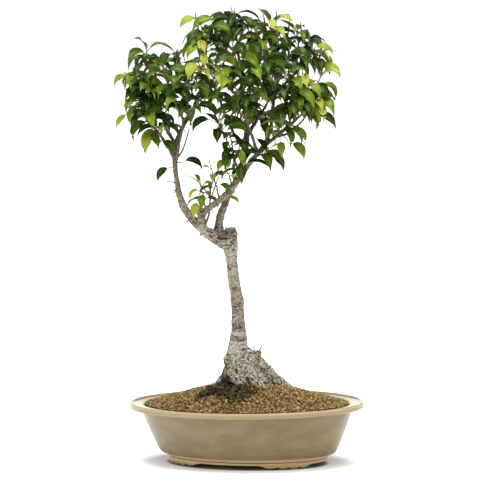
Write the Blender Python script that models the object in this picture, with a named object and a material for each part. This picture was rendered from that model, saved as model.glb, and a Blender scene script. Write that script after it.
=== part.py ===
"""A fig bonsai in a shallow oval pot: footed ceramic pot, drainage screens and clips, anchor wire,
gravel layer, soil, a tree of one piece of wood, and its leafy shoots.

Metres, +Z up. The origin is the centre of the footprint on the table, +X is the viewer's right and
-Y faces the viewer.
"""

import math
import random

import bmesh
import bpy
from mathutils import Matrix, Vector
from mathutils.bvhtree import BVHTree

MM = 0.001
GAP = 0.4 * MM  # room between neighbouring solids

# ---- pot: lip sizes and heights -------------------------------------------------------------
POT_CENTRE_X = 1.5 * MM
POT_TURN = math.radians(-24)
LIP_LENGTH = 306 * MM
LIP_WIDTH = 210 * MM
POT_HEIGHT = 77 * MM
FOOT_HEIGHT = 5 * MM
LIP_HEIGHT = 8 * MM
LIP_REACH = 18.5 * MM  # from the lip's outer edge in to the opening
LIP_OVERHANG = 14 * MM  # from the lip's outer edge in to the top of the wall
WALL_TAPER = 21 * MM  # how far the wall leans in from top to bottom
WALL = 6.5 * MM
BASE_THICKNESS = 7 * MM
RIDGE_HEIGHT = 4 * MM
SKIRT_HEIGHT = 3.5 * MM
SHOULDER_HEIGHT = 5 * MM
SKIRT_INSET = 48 * MM  # from the lip's outer edge in to the skirt
OVAL_SIDES = 44

# ---- holes in the base, and what covers and passes them -------------------------------------
DRAIN_HOLE_DIAMETER = 18 * MM
DRAIN_HOLE_OFFSET = 52 * MM
WIRE_HOLE_DIAMETER = 5 * MM
WIRE_HOLE_OFFSET = 24 * MM
WIRE_HOLE_ROW = -34 * MM
SCREEN_SIDE = 23.8 * MM
SCREEN_THICKNESS = 1 * MM
SCREEN_CELLS = 7
CLIP_WIRE_DIAMETER = 1.2 * MM
ANCHOR_WIRE_DIAMETER = 1.6 * MM

# ---- filling --------------------------------------------------------------------------------
GRAVEL_DEPTH = 8 * MM
SOIL_EDGE_BELOW_RIM = 2.5 * MM
MOUND_HEIGHT = 26 * MM

# ---- shoots and leaves ----------------------------------------------------------------------
SHOOT_RADIUS = 1.1 * MM
SHOOT_AT_LEAST = 24 * MM
LEAF_SPACING = 6 * MM
LEAVES_AT_LEAST = 5
LEAVES_AT_MOST = 8
PETIOLE = 5 * MM
LEAF_LENGTH = (25 * MM, 33 * MM)
LEAF_WIDTH_SHARE = 0.42
LEAF_THICKNESS = 0.9 * MM
LEAF_FOLD = 1.6 * MM
LEAF_TRIES = 18
LEAF_TO_STEM = 0.72  # cosine of the least angle between a petiole and its stem
SEED = 7


def v(x, y, z):
    """A point given in millimetres."""
    return Vector((x, y, z)) * MM


def material(name, colour, roughness, metallic=0.0):
    made = bpy.data.materials.new(name)
    made.use_nodes = True
    shader = made.node_tree.nodes["Principled BSDF"]
    shader.inputs["Base Color"].default_value = (*colour, 1)
    shader.inputs["Roughness"].default_value = roughness
    shader.inputs["Metallic"].default_value = metallic
    return made


def add_object(name, bm, finish, helper=False):
    """A bmesh as an object. A helper is a cutter or a guide, and isn't part of the model."""
    bmesh.ops.recalc_face_normals(bm, faces=bm.faces)
    if bm.calc_volume(signed=True) < 0:
        bmesh.ops.reverse_faces(bm, faces=bm.faces)
    mesh = bpy.data.meshes.new(name)
    bm.to_mesh(mesh)
    bm.free()
    mesh.shade_smooth()
    mesh.set_sharp_from_angle(angle=math.radians(35))
    mesh.materials.append(finish)
    made = bpy.data.objects.new(name, mesh)
    bpy.context.scene.collection.objects.link(made)
    if helper:
        made.hide_render = True
        made.display_type = "WIRE"
    return made


def boolean(target, operation, tools):
    """Joins or cuts target with all the tools at once."""
    group = bpy.data.collections.new(target.name + "_" + operation.lower())
    for tool in tools:
        group.objects.link(tool)
    modifier = target.modifiers.new(operation.title(), "BOOLEAN")
    modifier.operation = operation
    modifier.operand_type = "COLLECTION"
    modifier.collection = group


def skin(bm, rings, cap_first=True, cap_last=True):
    """Faces between rings of vertices, each ring as long as the next, and over the end rings."""
    for low, high in zip(rings, rings[1:]):
        for i in range(len(low)):
            j = (i + 1) % len(low)
            bm.faces.new((low[i], low[j], high[j], high[i]))
    if cap_first:
        bm.faces.new(reversed(rings[0]))
    if cap_last:
        bm.faces.new(rings[-1])


def along(points):
    """Unit directions of a path at each of its points."""
    last = len(points) - 1
    return [
        (points[min(i + 1, last)] - points[max(i - 1, 0)]).normalized()
        for i in range(last + 1)
    ]


def frames(points):
    """A path's directions with two directions across it that don't twist along the way."""
    tangents = along(points)
    side = tangents[0].orthogonal().normalized()
    found = []
    for tangent in tangents:
        side = (side - tangent * side.dot(tangent)).normalized()
        found.append((tangent, side, tangent.cross(side)))
    return found


def smooth(knots, steps):
    """A Catmull-Rom curve through knots (x, y, z, radius), with this many steps between two."""
    ends = [2 * knots[0] - knots[1], *knots, 2 * knots[-1] - knots[-2]]
    made = []
    for a, b, c, d in zip(ends, ends[1:], ends[2:], ends[3:]):
        for i in range(steps):
            t = i / steps
            made.append(
                0.5
                * (
                    2 * b
                    + (c - a) * t
                    + (2 * a - 5 * b + 4 * c - d) * t * t
                    + (3 * b - a - 3 * c + d) * t**3
                )
            )
    return [*made, knots[-1]]


def tube(name, knots, finish, sides=8, steps=1, grow=0.0, helper=False, lobes=None):
    """A round limb along knots (x, y, z, radius) in millimetres. Lobes swell some directions."""
    path = smooth([Vector(k) * MM for k in knots], steps)
    points = [p.xyz for p in path]
    bm = bmesh.new()
    rings = []
    for p, (_, side, across) in zip(path, frames(points)):
        ring = []
        for i in range(sides):
            turn = 2 * math.pi * i / sides
            swell = lobes(turn, p.z) if lobes else 1.0
            radius = p.w * swell + grow
            ring.append(
                bm.verts.new(p.xyz + (side * math.cos(turn) + across * math.sin(turn)) * radius)
            )
        rings.append(ring)
    skin(bm, rings)
    return add_object(name, bm, finish, helper)


# ---- pot --------------------------------------------------------------------------------------


def oval(inset, z, sides=OVAL_SIDES):
    """Points round the pot at a distance in from the lip's outer edge, in the pot's own frame."""
    half_length = LIP_LENGTH / 2 - inset
    half_width = LIP_WIDTH / 2 - inset
    turns = [2 * math.pi * i / sides for i in range(sides)]
    return [Vector((half_length * math.cos(t), half_width * math.sin(t), z)) for t in turns]


def pot_frame():
    """Stands the pot's own frame in its place: turned a little, and right of the tree."""
    return Matrix.Translation((POT_CENTRE_X, 0, 0)) @ Matrix.Rotation(POT_TURN, 4, "Z")


def oval_rings(bm, profile):
    return [[bm.verts.new(p) for p in oval(inset, z)] for inset, z in profile]


def wall_inset(z):
    """How far in from the lip's edge the outside of the wall is at a height."""
    low = FOOT_HEIGHT + SKIRT_HEIGHT + RIDGE_HEIGHT + SHOULDER_HEIGHT
    high = POT_HEIGHT - LIP_HEIGHT
    share = (high - z) / (high - low)
    bulge = 0.6 * MM * math.sin(math.pi * min(max(share, 0), 1))
    return LIP_OVERHANG + WALL_TAPER * share - bulge


FLOOR = FOOT_HEIGHT + BASE_THICKNESS
RIM = POT_HEIGHT - 2 * MM  # the flat of the lip, a little below its raised edge


def pot_profile():
    """The pot's section from the centre of its underside, out, up, over the lip and in."""
    skirt = FOOT_HEIGHT + SKIRT_HEIGHT
    ridge = skirt + RIDGE_HEIGHT
    shoulder = ridge + SHOULDER_HEIGHT
    lip_low = POT_HEIGHT - LIP_HEIGHT
    return [
        (SKIRT_INSET + 4 * MM, FOOT_HEIGHT),
        (SKIRT_INSET + 0.6 * MM, FOOT_HEIGHT + 0.4 * MM),
        (SKIRT_INSET, FOOT_HEIGHT + 1.2 * MM),
        (SKIRT_INSET - 0.4 * MM, skirt - 0.6 * MM),
        (SKIRT_INSET + 0.9 * MM, skirt),
        (SKIRT_INSET - 1.4 * MM, skirt + 0.9 * MM),
        (SKIRT_INSET - 2.6 * MM, skirt + 2.2 * MM),
        (SKIRT_INSET - 2.2 * MM, ridge - 0.6 * MM),
        (SKIRT_INSET - 5.5 * MM, ridge),
        (SKIRT_INSET - 9.5 * MM, ridge + 1 * MM),
        (SKIRT_INSET - 12.2 * MM, ridge + 2.6 * MM),
        (wall_inset(shoulder), shoulder),
        (wall_inset(36 * MM), 36 * MM),
        (wall_inset(56 * MM), 56 * MM),
        (wall_inset(lip_low - 1.5 * MM), lip_low - 1.5 * MM),
        (3 * MM, lip_low - 0.2 * MM),
        (0.8 * MM, lip_low + 0.7 * MM),
        (0.0, lip_low + 2.6 * MM),
        (0.0, POT_HEIGHT - 1.6 * MM),
        (1.4 * MM, POT_HEIGHT),
        (3.0 * MM, POT_HEIGHT - 0.4 * MM),
        (4.4 * MM, RIM),
        (LIP_REACH - 1.5 * MM, RIM - 0.6 * MM),
        *hollow_profile(),
    ]


def hollow_profile():
    """The inside of the pot, from the opening down to the floor."""
    shoulder, toe = 0.75 * POT_HEIGHT, FLOOR + GRAVEL_DEPTH
    return [
        (LIP_REACH, RIM - 1.6 * MM),
        (max(wall_inset(shoulder) + WALL, LIP_REACH), shoulder),
        (wall_inset(toe) + WALL, toe),
        (wall_inset(FLOOR) + WALL + 5 * MM, FLOOR),
    ]


def foot(name, middle, finish):
    """One cloud foot: a curved bracket under the skirt, its lower edge cut into lobes."""
    outer, inner = SKIRT_INSET + 0.4 * MM, SKIRT_INSET + 12 * MM
    top = FOOT_HEIGHT + 2 * MM
    # (degrees from the foot's middle, height of the lower edge)
    edge = [(-25, FOOT_HEIGHT + MM), (-20, 3.6 * MM), (-16.5, 0.9 * MM), (-11.5, 0.9 * MM)]
    edge += [(-9.6, 2.8 * MM), (-8, 0), (-3, 0), (-1.4, 2.4 * MM), (0.4, 0), (6, 0)]
    edge += [(7.6, 2.6 * MM), (9.4, 0.9 * MM), (14.5, 0.9 * MM), (18, 3.6 * MM)]
    edge += [(23, FOOT_HEIGHT + MM)]
    bm = bmesh.new()
    rings = []
    for degrees, z in edge:
        turn = math.radians(middle + degrees)
        section = []
        for inset, height in ((outer, top), (inner, top), (inner, z), (outer - 0.6 * MM, z)):
            x = (LIP_LENGTH / 2 - inset) * math.cos(turn)
            y = (LIP_WIDTH / 2 - inset) * math.sin(turn)
            section.append(bm.verts.new((x, y, height)))
        rings.append(section)
    skin(bm, rings)
    return add_object(name, bm, finish, helper=True)


def drill(name, x, y, diameter, finish):
    bm = bmesh.new()
    bmesh.ops.create_cone(
        bm,
        cap_ends=True,
        segments=16,
        radius1=diameter / 2,
        radius2=diameter / 2,
        depth=4 * BASE_THICKNESS,
        matrix=Matrix.Translation((x, y, FOOT_HEIGHT)),
    )
    return add_object(name, bm, finish, helper=True)


def drain_holes():
    return [(-DRAIN_HOLE_OFFSET, 0.0), (DRAIN_HOLE_OFFSET, 0.0)]


def wire_holes():
    return [(-WIRE_HOLE_OFFSET, WIRE_HOLE_ROW), (WIRE_HOLE_OFFSET, WIRE_HOLE_ROW)]


def make_pot():
    finish = material("stoneware", (0.40, 0.32, 0.19), 0.45)
    bm = bmesh.new()
    skin(bm, oval_rings(bm, pot_profile()))
    pot = add_object("pot", bm, finish)
    feet = [foot(f"foot_{m}", m, finish) for m in (-45, 45, 135, -135)]
    drills = [
        drill(f"drain_drill_{i}", x, y, DRAIN_HOLE_DIAMETER, finish)
        for i, (x, y) in enumerate(drain_holes())
    ]
    drills += [
        drill(f"wire_drill_{i}", x, y, WIRE_HOLE_DIAMETER, finish)
        for i, (x, y) in enumerate(wire_holes())
    ]
    boolean(pot, "UNION", feet)
    boolean(pot, "DIFFERENCE", drills)
    for piece in (pot, *feet, *drills):
        piece.matrix_world = pot_frame()
    return pot


# ---- drainage screens, their clips and the anchor wire --------------------------------------


def make_screen(name, x, y, finish):
    """A square of plastic mesh lying over a drain hole."""
    bm = bmesh.new()
    bmesh.ops.create_grid(
        bm, x_segments=SCREEN_CELLS, y_segments=SCREEN_CELLS, size=SCREEN_SIDE / 2
    )
    cell = SCREEN_SIDE / SCREEN_CELLS
    openings = [
        f
        for f in bm.faces
        if all(round(c / cell + SCREEN_CELLS / 2 - 0.5) % 2 for c in f.calc_center_median().xy)
    ]
    bmesh.ops.delete(bm, geom=openings, context="FACES_ONLY")
    bottom = FLOOR + GAP
    bmesh.ops.translate(bm, verts=bm.verts, vec=(x, y, bottom))
    screen = add_object(name, bm, finish)
    thickness = screen.modifiers.new("Thickness", "SOLIDIFY")
    thickness.thickness = SCREEN_THICKNESS
    thickness.offset = 1.0
    screen.matrix_world = pot_frame()
    return screen


def clip_path(x, y, wire):
    """From under the base up through the hole and the mesh, over it, down, and out below."""
    leg = 2 * SCREEN_SIDE / SCREEN_CELLS
    under = FOOT_HEIGHT - wire / 2 - GAP
    over = FLOOR + GAP + SCREEN_THICKNESS + wire / 2 + GAP
    flat = [
        (-leg - 6 * MM, under),
        (-leg - 1 * MM, under),
        (-leg, under + 1 * MM),
        (-leg, over - 1.2 * MM),
        (-leg + 1.2 * MM, over),
    ]
    path = [Vector((x + px, y, pz)) for px, pz in flat]
    return path + [Vector((2 * x - p.x, p.y, p.z)) for p in reversed(path)]


def anchor_path(wire):
    """Under the base from hole to hole, up both, and over the roots to a twist in front."""
    (left, row), (right, _) = wire_holes()
    under = FOOT_HEIGHT - wire / 2 - GAP
    bend = 1.4 * MM
    half = [
        (left + bend, row, under),
        (left, row, under + bend),
        (left, row, FLOOR + 6 * MM),
        (left + 1 * MM, row - 2 * MM, 52 * MM),
        (left + 9 * MM, row - 6 * MM, 70 * MM),
        (-wire / 2 - GAP, row - 10 * MM, 76 * MM),
        (-wire / 2 - GAP, row - 13 * MM, 80 * MM),
    ]
    path = [Vector(p) for p in half]
    return [Vector((-p.x, p.y, p.z)) for p in reversed(path)] + path


def screen_pocket(name, x, y, finish):
    """The room that a screen and its clip take in the gravel."""
    height = SCREEN_THICKNESS + CLIP_WIRE_DIAMETER + 4 * GAP
    width = SCREEN_SIDE + 2 * GAP
    bm = bmesh.new()
    bmesh.ops.create_cube(bm, size=1)
    bmesh.ops.scale(bm, vec=(width, width, 2 * height), verts=bm.verts)
    bmesh.ops.translate(bm, vec=(x, y, FLOOR), verts=bm.verts)
    pocket = add_object(name, bm, finish, helper=True)
    pocket.matrix_world = pot_frame()
    return pocket


def wire_tube(name, path, diameter, finish, sides=6, grow=0.0, helper=False):
    knots = [(*(p / MM), diameter / 2 / MM) for p in path]
    made = tube(name, knots, finish, sides=sides, grow=grow, helper=helper)
    made.matrix_world = pot_frame()
    return made


# ---- filling ----------------------------------------------------------------------------------


def make_gravel(finish, cutters):
    *_, (toe_inset, toe), (floor_inset, floor) = hollow_profile()
    bm = bmesh.new()
    profile = [(floor_inset + 2 * GAP, floor + GAP), (toe_inset + 2 * GAP, toe)]
    skin(bm, oval_rings(bm, profile))
    gravel = add_object("gravel_layer", bm, finish)
    gravel.matrix_world = pot_frame()
    boolean(gravel, "DIFFERENCE", cutters)
    return gravel


def mound(p):
    """Height of the soil over a point of the pot's oval, where share is 1 at the edge."""
    share = math.hypot(
        p.x / (LIP_LENGTH / 2 - LIP_REACH - GAP), p.y / (LIP_WIDTH / 2 - LIP_REACH - GAP)
    )
    edge = POT_HEIGHT - SOIL_EDGE_BELOW_RIM
    rise = math.cos(min(share, 1) * math.pi / 2) ** 1.25
    ripple = 0.7 * MM * math.sin(p.x * 190 + 2) * math.sin(p.y * 230 + 1) * (1 - share**4)
    return edge + MOUND_HEIGHT * rise + ripple


def make_soil(finish, cutters):
    mouth, shoulder, toe, _ = hollow_profile()
    profile = [(inset + 2 * GAP, z + GAP) for inset, z in (toe, shoulder, mouth)]
    profile.append((LIP_REACH + 2 * GAP, POT_HEIGHT - SOIL_EDGE_BELOW_RIM))
    bm = bmesh.new()
    rings = oval_rings(bm, profile)
    for share in (0.9, 0.76, 0.6, 0.42, 0.22):
        ring = [p * share for p in oval(LIP_REACH + 2 * GAP, 0)]
        rings.append([bm.verts.new((p.x, p.y, mound(p))) for p in ring])
    skin(bm, rings)
    soil = add_object("soil", bm, finish)
    soil.matrix_world = pot_frame()
    boolean(soil, "DIFFERENCE", cutters)
    return soil


# ---- wood: each limb is a list of (x, y, z, radius) in millimetres --------------------------

TRUNK = [
    (-5.5, 0, 72.5, 15),
    (-6, 0, 94.5, 21),
    (-6, 0, 112.5, 19.5),
    (-6, 0, 128.5, 16.5),
    (-5.5, 0, 141.5, 13.6),
    (-4.5, 0, 153.5, 11.4),
    (-4, 0, 166.5, 9.3),
    (-4.5, 0, 179.5, 8.2),
    (-4, 0, 191.5, 8.1),
    (-4.5, 0, 203.5, 8.7),
    (-5.5, 0, 215.5, 7.5),
    (-7.5, 0, 228.5, 7.4),
    (-8.5, 0, 242, 7.3),
    (-9.5, 0, 254, 7.5),
    (-10, 0, 265, 8.8),
    (-10, 0, 277, 9.6),
    (-10, 0.5, 286, 9.2),
    (-10.5, 1, 292, 7.6),
]
LIMBS = {
    "neck": [(-8.5, 0, 269, 8), (-18, -1, 277, 9), (-29, -2, 283.5, 8.2), (-41.5, -3, 291.5, 7)],
    "left_limb": [
        (-34.5, -2.5, 285.5, 6.5),
        (-50.5, -4, 300.5, 5.7),
        (-59, -6, 311, 5.2),
        (-67, -8, 324.5, 4.9),
        (-72, -9, 343.5, 3.7),
        (-74.5, -9, 368.5, 3.1),
        (-75, -8, 386.5, 3.1),
        (-73, -6, 400.5, 3),
        (-66.5, -3, 416, 2.8),
        (-56, 1, 433, 2.6),
        (-46, 5, 449, 2.3),
        (-36, 9, 466, 1.9),
        (-28.5, 11, 485.5, 1.5),
    ],
    "left_outer": [
        (-75, -8, 383.5, 2.6),
        (-88.5, -14, 408, 2),
        (-99, -19, 423, 1.7),
        (-109, -21, 440.5, 1.4),
    ],
    "left_rear": [
        (-73, -6, 399.5, 2.4),
        (-85, 14, 420, 1.9),
        (-90, 28, 438, 1.5),
        (-92.5, 34, 454, 1.3),
    ],
    "left_front": [
        (-74, -8, 377.5, 2.2),
        (-67.5, -22, 403.5, 1.7),
        (-63, -34, 429, 1.4),
        (-70, -40, 449.5, 1.2),
    ],
    "middle_limb": [
        (-40.5, -4, 290.5, 5.2),
        (-44.5, -9, 303.5, 4.8),
        (-43, -11.5, 314.5, 5.2),
        (-35, -12, 320, 4.2),
        (-23.5, -12, 327.5, 3.9),
        (-13.5, -11, 336.5, 3.8),
        (-3, -9, 347, 3.8),
        (7.5, -9, 360.5, 3.5),
        (18, -10, 375, 3.3),
        (28, -12, 385.5, 3),
        (37, -14, 395.5, 2.8),
        (51, -17, 405.5, 2.3),
        (67.5, -20, 418.5, 1.9),
        (88, -22, 435.5, 1.4),
    ],
    "right_limb": [
        (-25, 1, 280.5, 7),
        (-23, 4, 303.5, 5.1),
        (-17.5, 6, 319, 4.6),
        (-10, 8, 334.5, 4.3),
        (-3, 10, 346.5, 4.1),
        (4, 12, 360.5, 4),
        (9, 14, 374, 4),
        (13, 16, 390, 4),
        (15, 17, 407, 3.7),
        (16, 17, 427, 3.1),
        (13.5, 14, 450.5, 2.6),
        (11, 10, 474.5, 2.2),
        (9, 7, 500.5, 1.7),
        (7, 5, 524.5, 1.3),
    ],
    "upright": [
        (36, -13, 394.5, 2.6),
        (44.5, -10, 415, 2.5),
        (48, -7, 439, 2.3),
        (52, -4, 462.5, 2),
        (53, -1, 488.5, 1.6),
        (52.5, 1, 512.5, 1.3),
    ],
    "upper_left": [
        (13.5, 14, 449.5, 2.2),
        (-5, 8, 467, 1.8),
        (-21.5, 1, 487.5, 1.5),
        (-31, -3, 508, 1.3),
    ],
    "rear_right": [
        (14.5, 17, 405.5, 2.8),
        (29, 36, 426, 2.1),
        (44.5, 48, 449, 1.6),
        (55, 50, 470.5, 1.3),
    ],
    "rear_left": [
        (12, 16, 388.5, 2.6),
        (-1.5, 36, 410.5, 2),
        (-12, 50, 435, 1.6),
        (-19.5, 48, 459.5, 1.3),
    ],
    "front": [
        (27, -12, 384, 2.4),
        (22.5, -32, 404, 1.9),
        (15, -44, 428.5, 1.5),
        (12.5, -46, 452.5, 1.2),
    ],
    "right_upper": [(51, -4, 458.5, 1.9), (69, 0, 474, 1.5), (85.5, 4, 489.5, 1.3)],
    "right_lower": [(50.5, -17, 404.5, 1.8), (68.5, -6, 410, 1.5), (85, 4, 423.5, 1.3)],
}
FLARE = {
    "root_right": [
        (1, -2, 140.5, 8),
        (16.5, -3, 126, 9),
        (34, -4, 108.5, 7.6),
        (49, -5, 96.5, 6),
        (64, -6, 86, 4.4),
        (80.5, -8, 73.5, 2.6),
    ],
    "root_right_low": [(5.5, -4, 114.5, 15), (18, -5, 100.5, 13), (31, -6, 90.5, 9.5), (43, -6, 82, 6)],
    "root_right_front": [
        (2.5, -8, 122.5, 10),
        (17, -20, 101, 7.4),
        (32.5, -31, 85.5, 4.6),
        (48.5, -40, 68.5, 2.4),
    ],
    "root_left": [
        (-9.5, -2, 126.5, 10),
        (-20, -4, 109, 8.2),
        (-33, -6, 96.5, 6),
        (-51.5, -9, 84.5, 3.6),
        (-67.5, -12, 73, 2),
    ],
    "root_left_front": [
        (-12, -8, 114.5, 8.5),
        (-25, -19, 100, 5.6),
        (-39, -29, 92.5, 4),
        (-55.5, -38, 80.5, 2.4),
    ],
    "root_front": [(-3, -8, 116.5, 10), (-2, -20, 97.5, 7), (-2.5, -30, 84.5, 4.6), (-4, -40, 68.5, 2.2)],
    "root_rear": [(-4, 8, 118.5, 10), (-10, 24, 96.5, 6.5), (-14.5, 42, 83, 3.8), (-18, 58, 69, 2.2)],
    "root_rear_right": [(2, 8, 118.5, 9.5), (17, 24, 95, 6), (34.5, 38, 77.5, 3), (46, 46, 66.5, 2)],
    "burl": [(-13, -6, 111, 7), (-18, -7, 121, 6.6), (-19, -7, 130, 5.6), (-14, -5, 139, 4)],
    "root_stub": [(9, -5, 118, 5.5), (15.5, -6, 128, 4.4), (19, -7, 138, 4.2)],
}
KNOTS = {"knot": [(-44, -10, 310.5, 4.6), (-47, -11.5, 317.5, 4.9), (-49.5, -12, 320.5, 4.2)]}


def flutes(turn, z):
    """The trunk's foot is ribbed where roots run into it; higher up it is nearly round."""
    depth = 0.10 * min(max((0.150 - z) / 0.05, 0), 1)
    return 1 + depth * math.cos(4 * turn + 0.6) + 0.02 * math.sin(3 * turn + z * 90)


def make_tree(finish):
    trunk = tube("trunk_and_limbs", TRUNK, finish, sides=14, lobes=flutes)
    parts = []
    for name, knots in {**LIMBS, **FLARE, **KNOTS}.items():
        sides = 8 if max(k[3] for k in knots) > 3.4 else 6
        parts.append(tube(name, knots, finish, sides=sides, helper=True))
    boolean(trunk, "UNION", parts)
    return trunk


def root_cutters(finish):
    """The buried wood a little swollen, which leaves its place in the soil."""
    made = [tube("trunk_place", TRUNK, finish, sides=14, lobes=flutes, grow=GAP, helper=True)]
    for name, knots in FLARE.items():
        made.append(tube(name + "_place", knots, finish, sides=8, grow=GAP, helper=True))
    for piece in made:
        stretch_ends(piece)
    return made


def stretch_ends(piece):
    """Pushes a cutter's lowest points down, so that the wood's cut end keeps its room."""
    lowest = min(p.co.z for p in piece.data.vertices)
    for p in piece.data.vertices:
        if p.co.z < lowest + 2 * MM:
            p.co.z -= GAP


# ---- shoots -----------------------------------------------------------------------------------

# the tip of each shoot in millimetres, by part of the crown
SHOOT_TIPS = {
    "top": [
        (5.5, 4, 566.5),
        (-37, -8, 551),
        (-4, -6, 554),
        (18.5, 14, 543.5),
        (49, -8, 546),
        (80.5, -2, 538),
        (97.5, 12, 526.5),
    ],
    "right": [
        (109, -4, 504),
        (110.5, -14, 480),
        (90, -26, 465.5),
        (106.5, 6, 449),
        (104.5, -22, 445),
        (78, -38, 444),
        (69, -26, 416),
        (41, -26, 385.5),
    ],
    "front": [
        (9.5, -34, 372.5),
        (-19, -18, 425.5),
        (-32.5, -42, 456),
        (-36.5, -36, 493),
        (-9.5, -52, 485),
        (-31, -24, 523),
        (1, -34, 524),
        (31.5, -24, 531),
        (46, -42, 507),
        (70.5, -32, 512),
        (64.5, -50, 481.5),
        (25.5, -62, 462),
        (-2, -54, 443),
    ],
    "left": [
        (-104, -10, 519.5),
        (-115.5, -24, 496),
        (-69, -4, 511.5),
        (-85.5, -30, 499),
        (-101, -40, 477.5),
        (-123.5, -14, 467.5),
        (-130, -8, 447.5),
        (-112, -34, 439.5),
        (-96, -32, 422),
    ],
    "fork": [(-45, -16, 349.5), (-31.5, -20, 374.5), (-12.5, -4, 370)],
    "rear": [
        (-102.5, 34, 489.5),
        (-78, 46, 445.5),
        (-34, 48, 506),
        (-23.5, 68, 463.5),
        (17, 54, 516.5),
        (20.5, 76, 457),
        (66, 52, 502.5),
        (78.5, 56, 459),
        (45, 56, 421),
    ],
}


def limb_points():
    """(point, radius) along every limb that can carry a shoot."""
    found = []
    for name, knots in LIMBS.items():
        if name == "neck":
            continue
        for p in smooth([Vector(k) * MM for k in knots], 5)[5:]:
            found.append((p.xyz, p.w))
    return found


def shoot_paths(tip, limbs):
    """Curves from the limbs up to a shoot's tip, the most natural first."""
    within_reach = [limb for limb in limbs if (tip - limb[0]).length > SHOOT_AT_LEAST]

    def cost(limb):
        reach = tip - limb[0]
        return reach.length * (1.5 - reach.z / reach.length)

    for start, radius in sorted(within_reach, key=cost):
        reach = tip - start
        control = start + reach * 0.5 + Vector((0, 0, 0.10 * reach.length))
        base = start + (control - start).normalized() * (radius + 1.2 * MM)
        yield base, control, tip


def bezier(base, control, tip, t):
    return base * (1 - t) ** 2 + control * (2 * t * (1 - t)) + tip * t * t


def stem_direction(path, t):
    base, control, tip = path
    return ((control - base) * (1 - t) + (tip - control) * t).normalized()


def leaf_stations(spot, heading, rise, curl, length):
    """Points and directions along a leaf that leaves its spot at the angle rise and droops."""
    total = PETIOLE + length
    found = []
    for s in (PETIOLE / total, (PETIOLE + 0.42 * length) / total, 1.0):
        pitch = rise - curl * s
        out = (math.sin(rise) - math.sin(pitch)) * total / curl
        up = (math.cos(pitch) - math.cos(rise)) * total / curl
        direction = heading * math.cos(pitch) + Vector((0, 0, math.sin(pitch)))
        found.append((spot + heading * out + Vector((0, 0, up)), direction))
    return found


def leaf_sections(spot, heading, rise, curl, length, roll, grow=0.0):
    """The leaf's cross-sections: petiole's end, widest place (4 points each), and the tip."""
    (neck, d1), (middle, d2), (end, _) = leaf_stations(spot, heading, rise, curl, length)
    sections = []
    for p, d, half, fold, thick in (
        (neck, d1, 0.6 * MM, 0.0, 1.1 * MM),
        (middle, d2, length * LEAF_WIDTH_SHARE / 2, LEAF_FOLD, LEAF_THICKNESS),
    ):
        side = Matrix.Rotation(roll, 3, d) @ d.cross(Vector((0, 0, 1))).normalized()
        upwards = side.cross(d)
        sections.append(
            [
                p - side * (half + grow),
                p - upwards * (fold - thick / 2 - grow),
                p + side * (half + grow),
                p - upwards * (fold + thick / 2 + grow),
            ]
        )
    return sections, end + d2 * grow


def first_direction(shape):
    """The way a leaf's petiole leaves the stem."""
    _, heading, rise, *_ = shape
    return heading * math.cos(rise) + Vector((0, 0, math.sin(rise)))


def leaf_tree(shape):
    """The surface of a leaf with its petiole, a little swollen, for overlap tests."""
    sections, end = leaf_sections(*shape, grow=GAP)
    spot = shape[0]
    root = [spot + (p - sections[0][0] * 0.5 - sections[0][2] * 0.5) for p in sections[0]]
    points = [p for section in (root, *sections) for p in section] + [end]
    faces = [(4 * k + i, 4 * k + (i + 1) % 4, 4 * k + 4 + (i + 1) % 4, 4 * k + 4 + i)
             for k in range(2) for i in range(4)]
    faces += [(8 + i, 8 + (i + 1) % 4, 12) for i in range(4)]
    return BVHTree.FromPolygons(points, faces)


def shoot_leaves(index, path, trees):
    """Chooses each leaf's place on the shoot, turning it until it is clear of all the rest."""
    base, control, tip = path
    length = (tip - base).length
    count = min(max(round(length / LEAF_SPACING), LEAVES_AT_LEAST), LEAVES_AT_MOST)
    chosen = []
    for i in range(count):
        t = 0.22 + 0.76 * (i + 0.5) / count
        spot = bezier(base, control, tip, t)
        for attempt in range(LEAF_TRIES):
            dice = random.Random(SEED + index * 1000 + i * 20 + attempt)
            azimuth = 2.4 * (i + 3 * index) + attempt * 1.1 + dice.uniform(-0.3, 0.3)
            heading = Vector((math.cos(azimuth), math.sin(azimuth), 0))
            rise = math.radians(dice.uniform(15, 50))
            curl = math.radians(dice.uniform(85, 125))
            size = dice.uniform(*LEAF_LENGTH) * (1 if i < count - 1 else 0.72)
            roll = math.radians(dice.uniform(-25, 25))
            shape = (spot, heading, rise, curl, size, roll)
            if abs(first_direction(shape).dot(stem_direction(path, t))) > LEAF_TO_STEM:
                continue
            tree = leaf_tree(shape)
            if not any(tree.overlap(other) for other in trees):
                chosen.append((t, shape))
                trees.append(tree)
                break
    return chosen


def stem_ring(bm, path, t, facing, before):
    """Three points round the stem, with one side square to facing. Returns that side's number too."""
    along_stem = stem_direction(path, t)
    side = (facing - along_stem * facing.dot(along_stem)).normalized()
    across = along_stem.cross(side)
    centre = bezier(*path, t)
    radius = SHOOT_RADIUS * (1 - 0.45 * t)
    corners = []
    for i in range(3):
        turn = math.radians(120 * i - 60)
        corners.append(centre + (side * math.cos(turn) + across * math.sin(turn)) * radius)
    shift = 0
    if before:
        shift = min(range(3), key=lambda k: (corners[k] - before[0].co).length)
    ring = [bm.verts.new(corners[(i + shift) % 3]) for i in range(3)]
    return ring, (3 - shift) % 3


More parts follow.
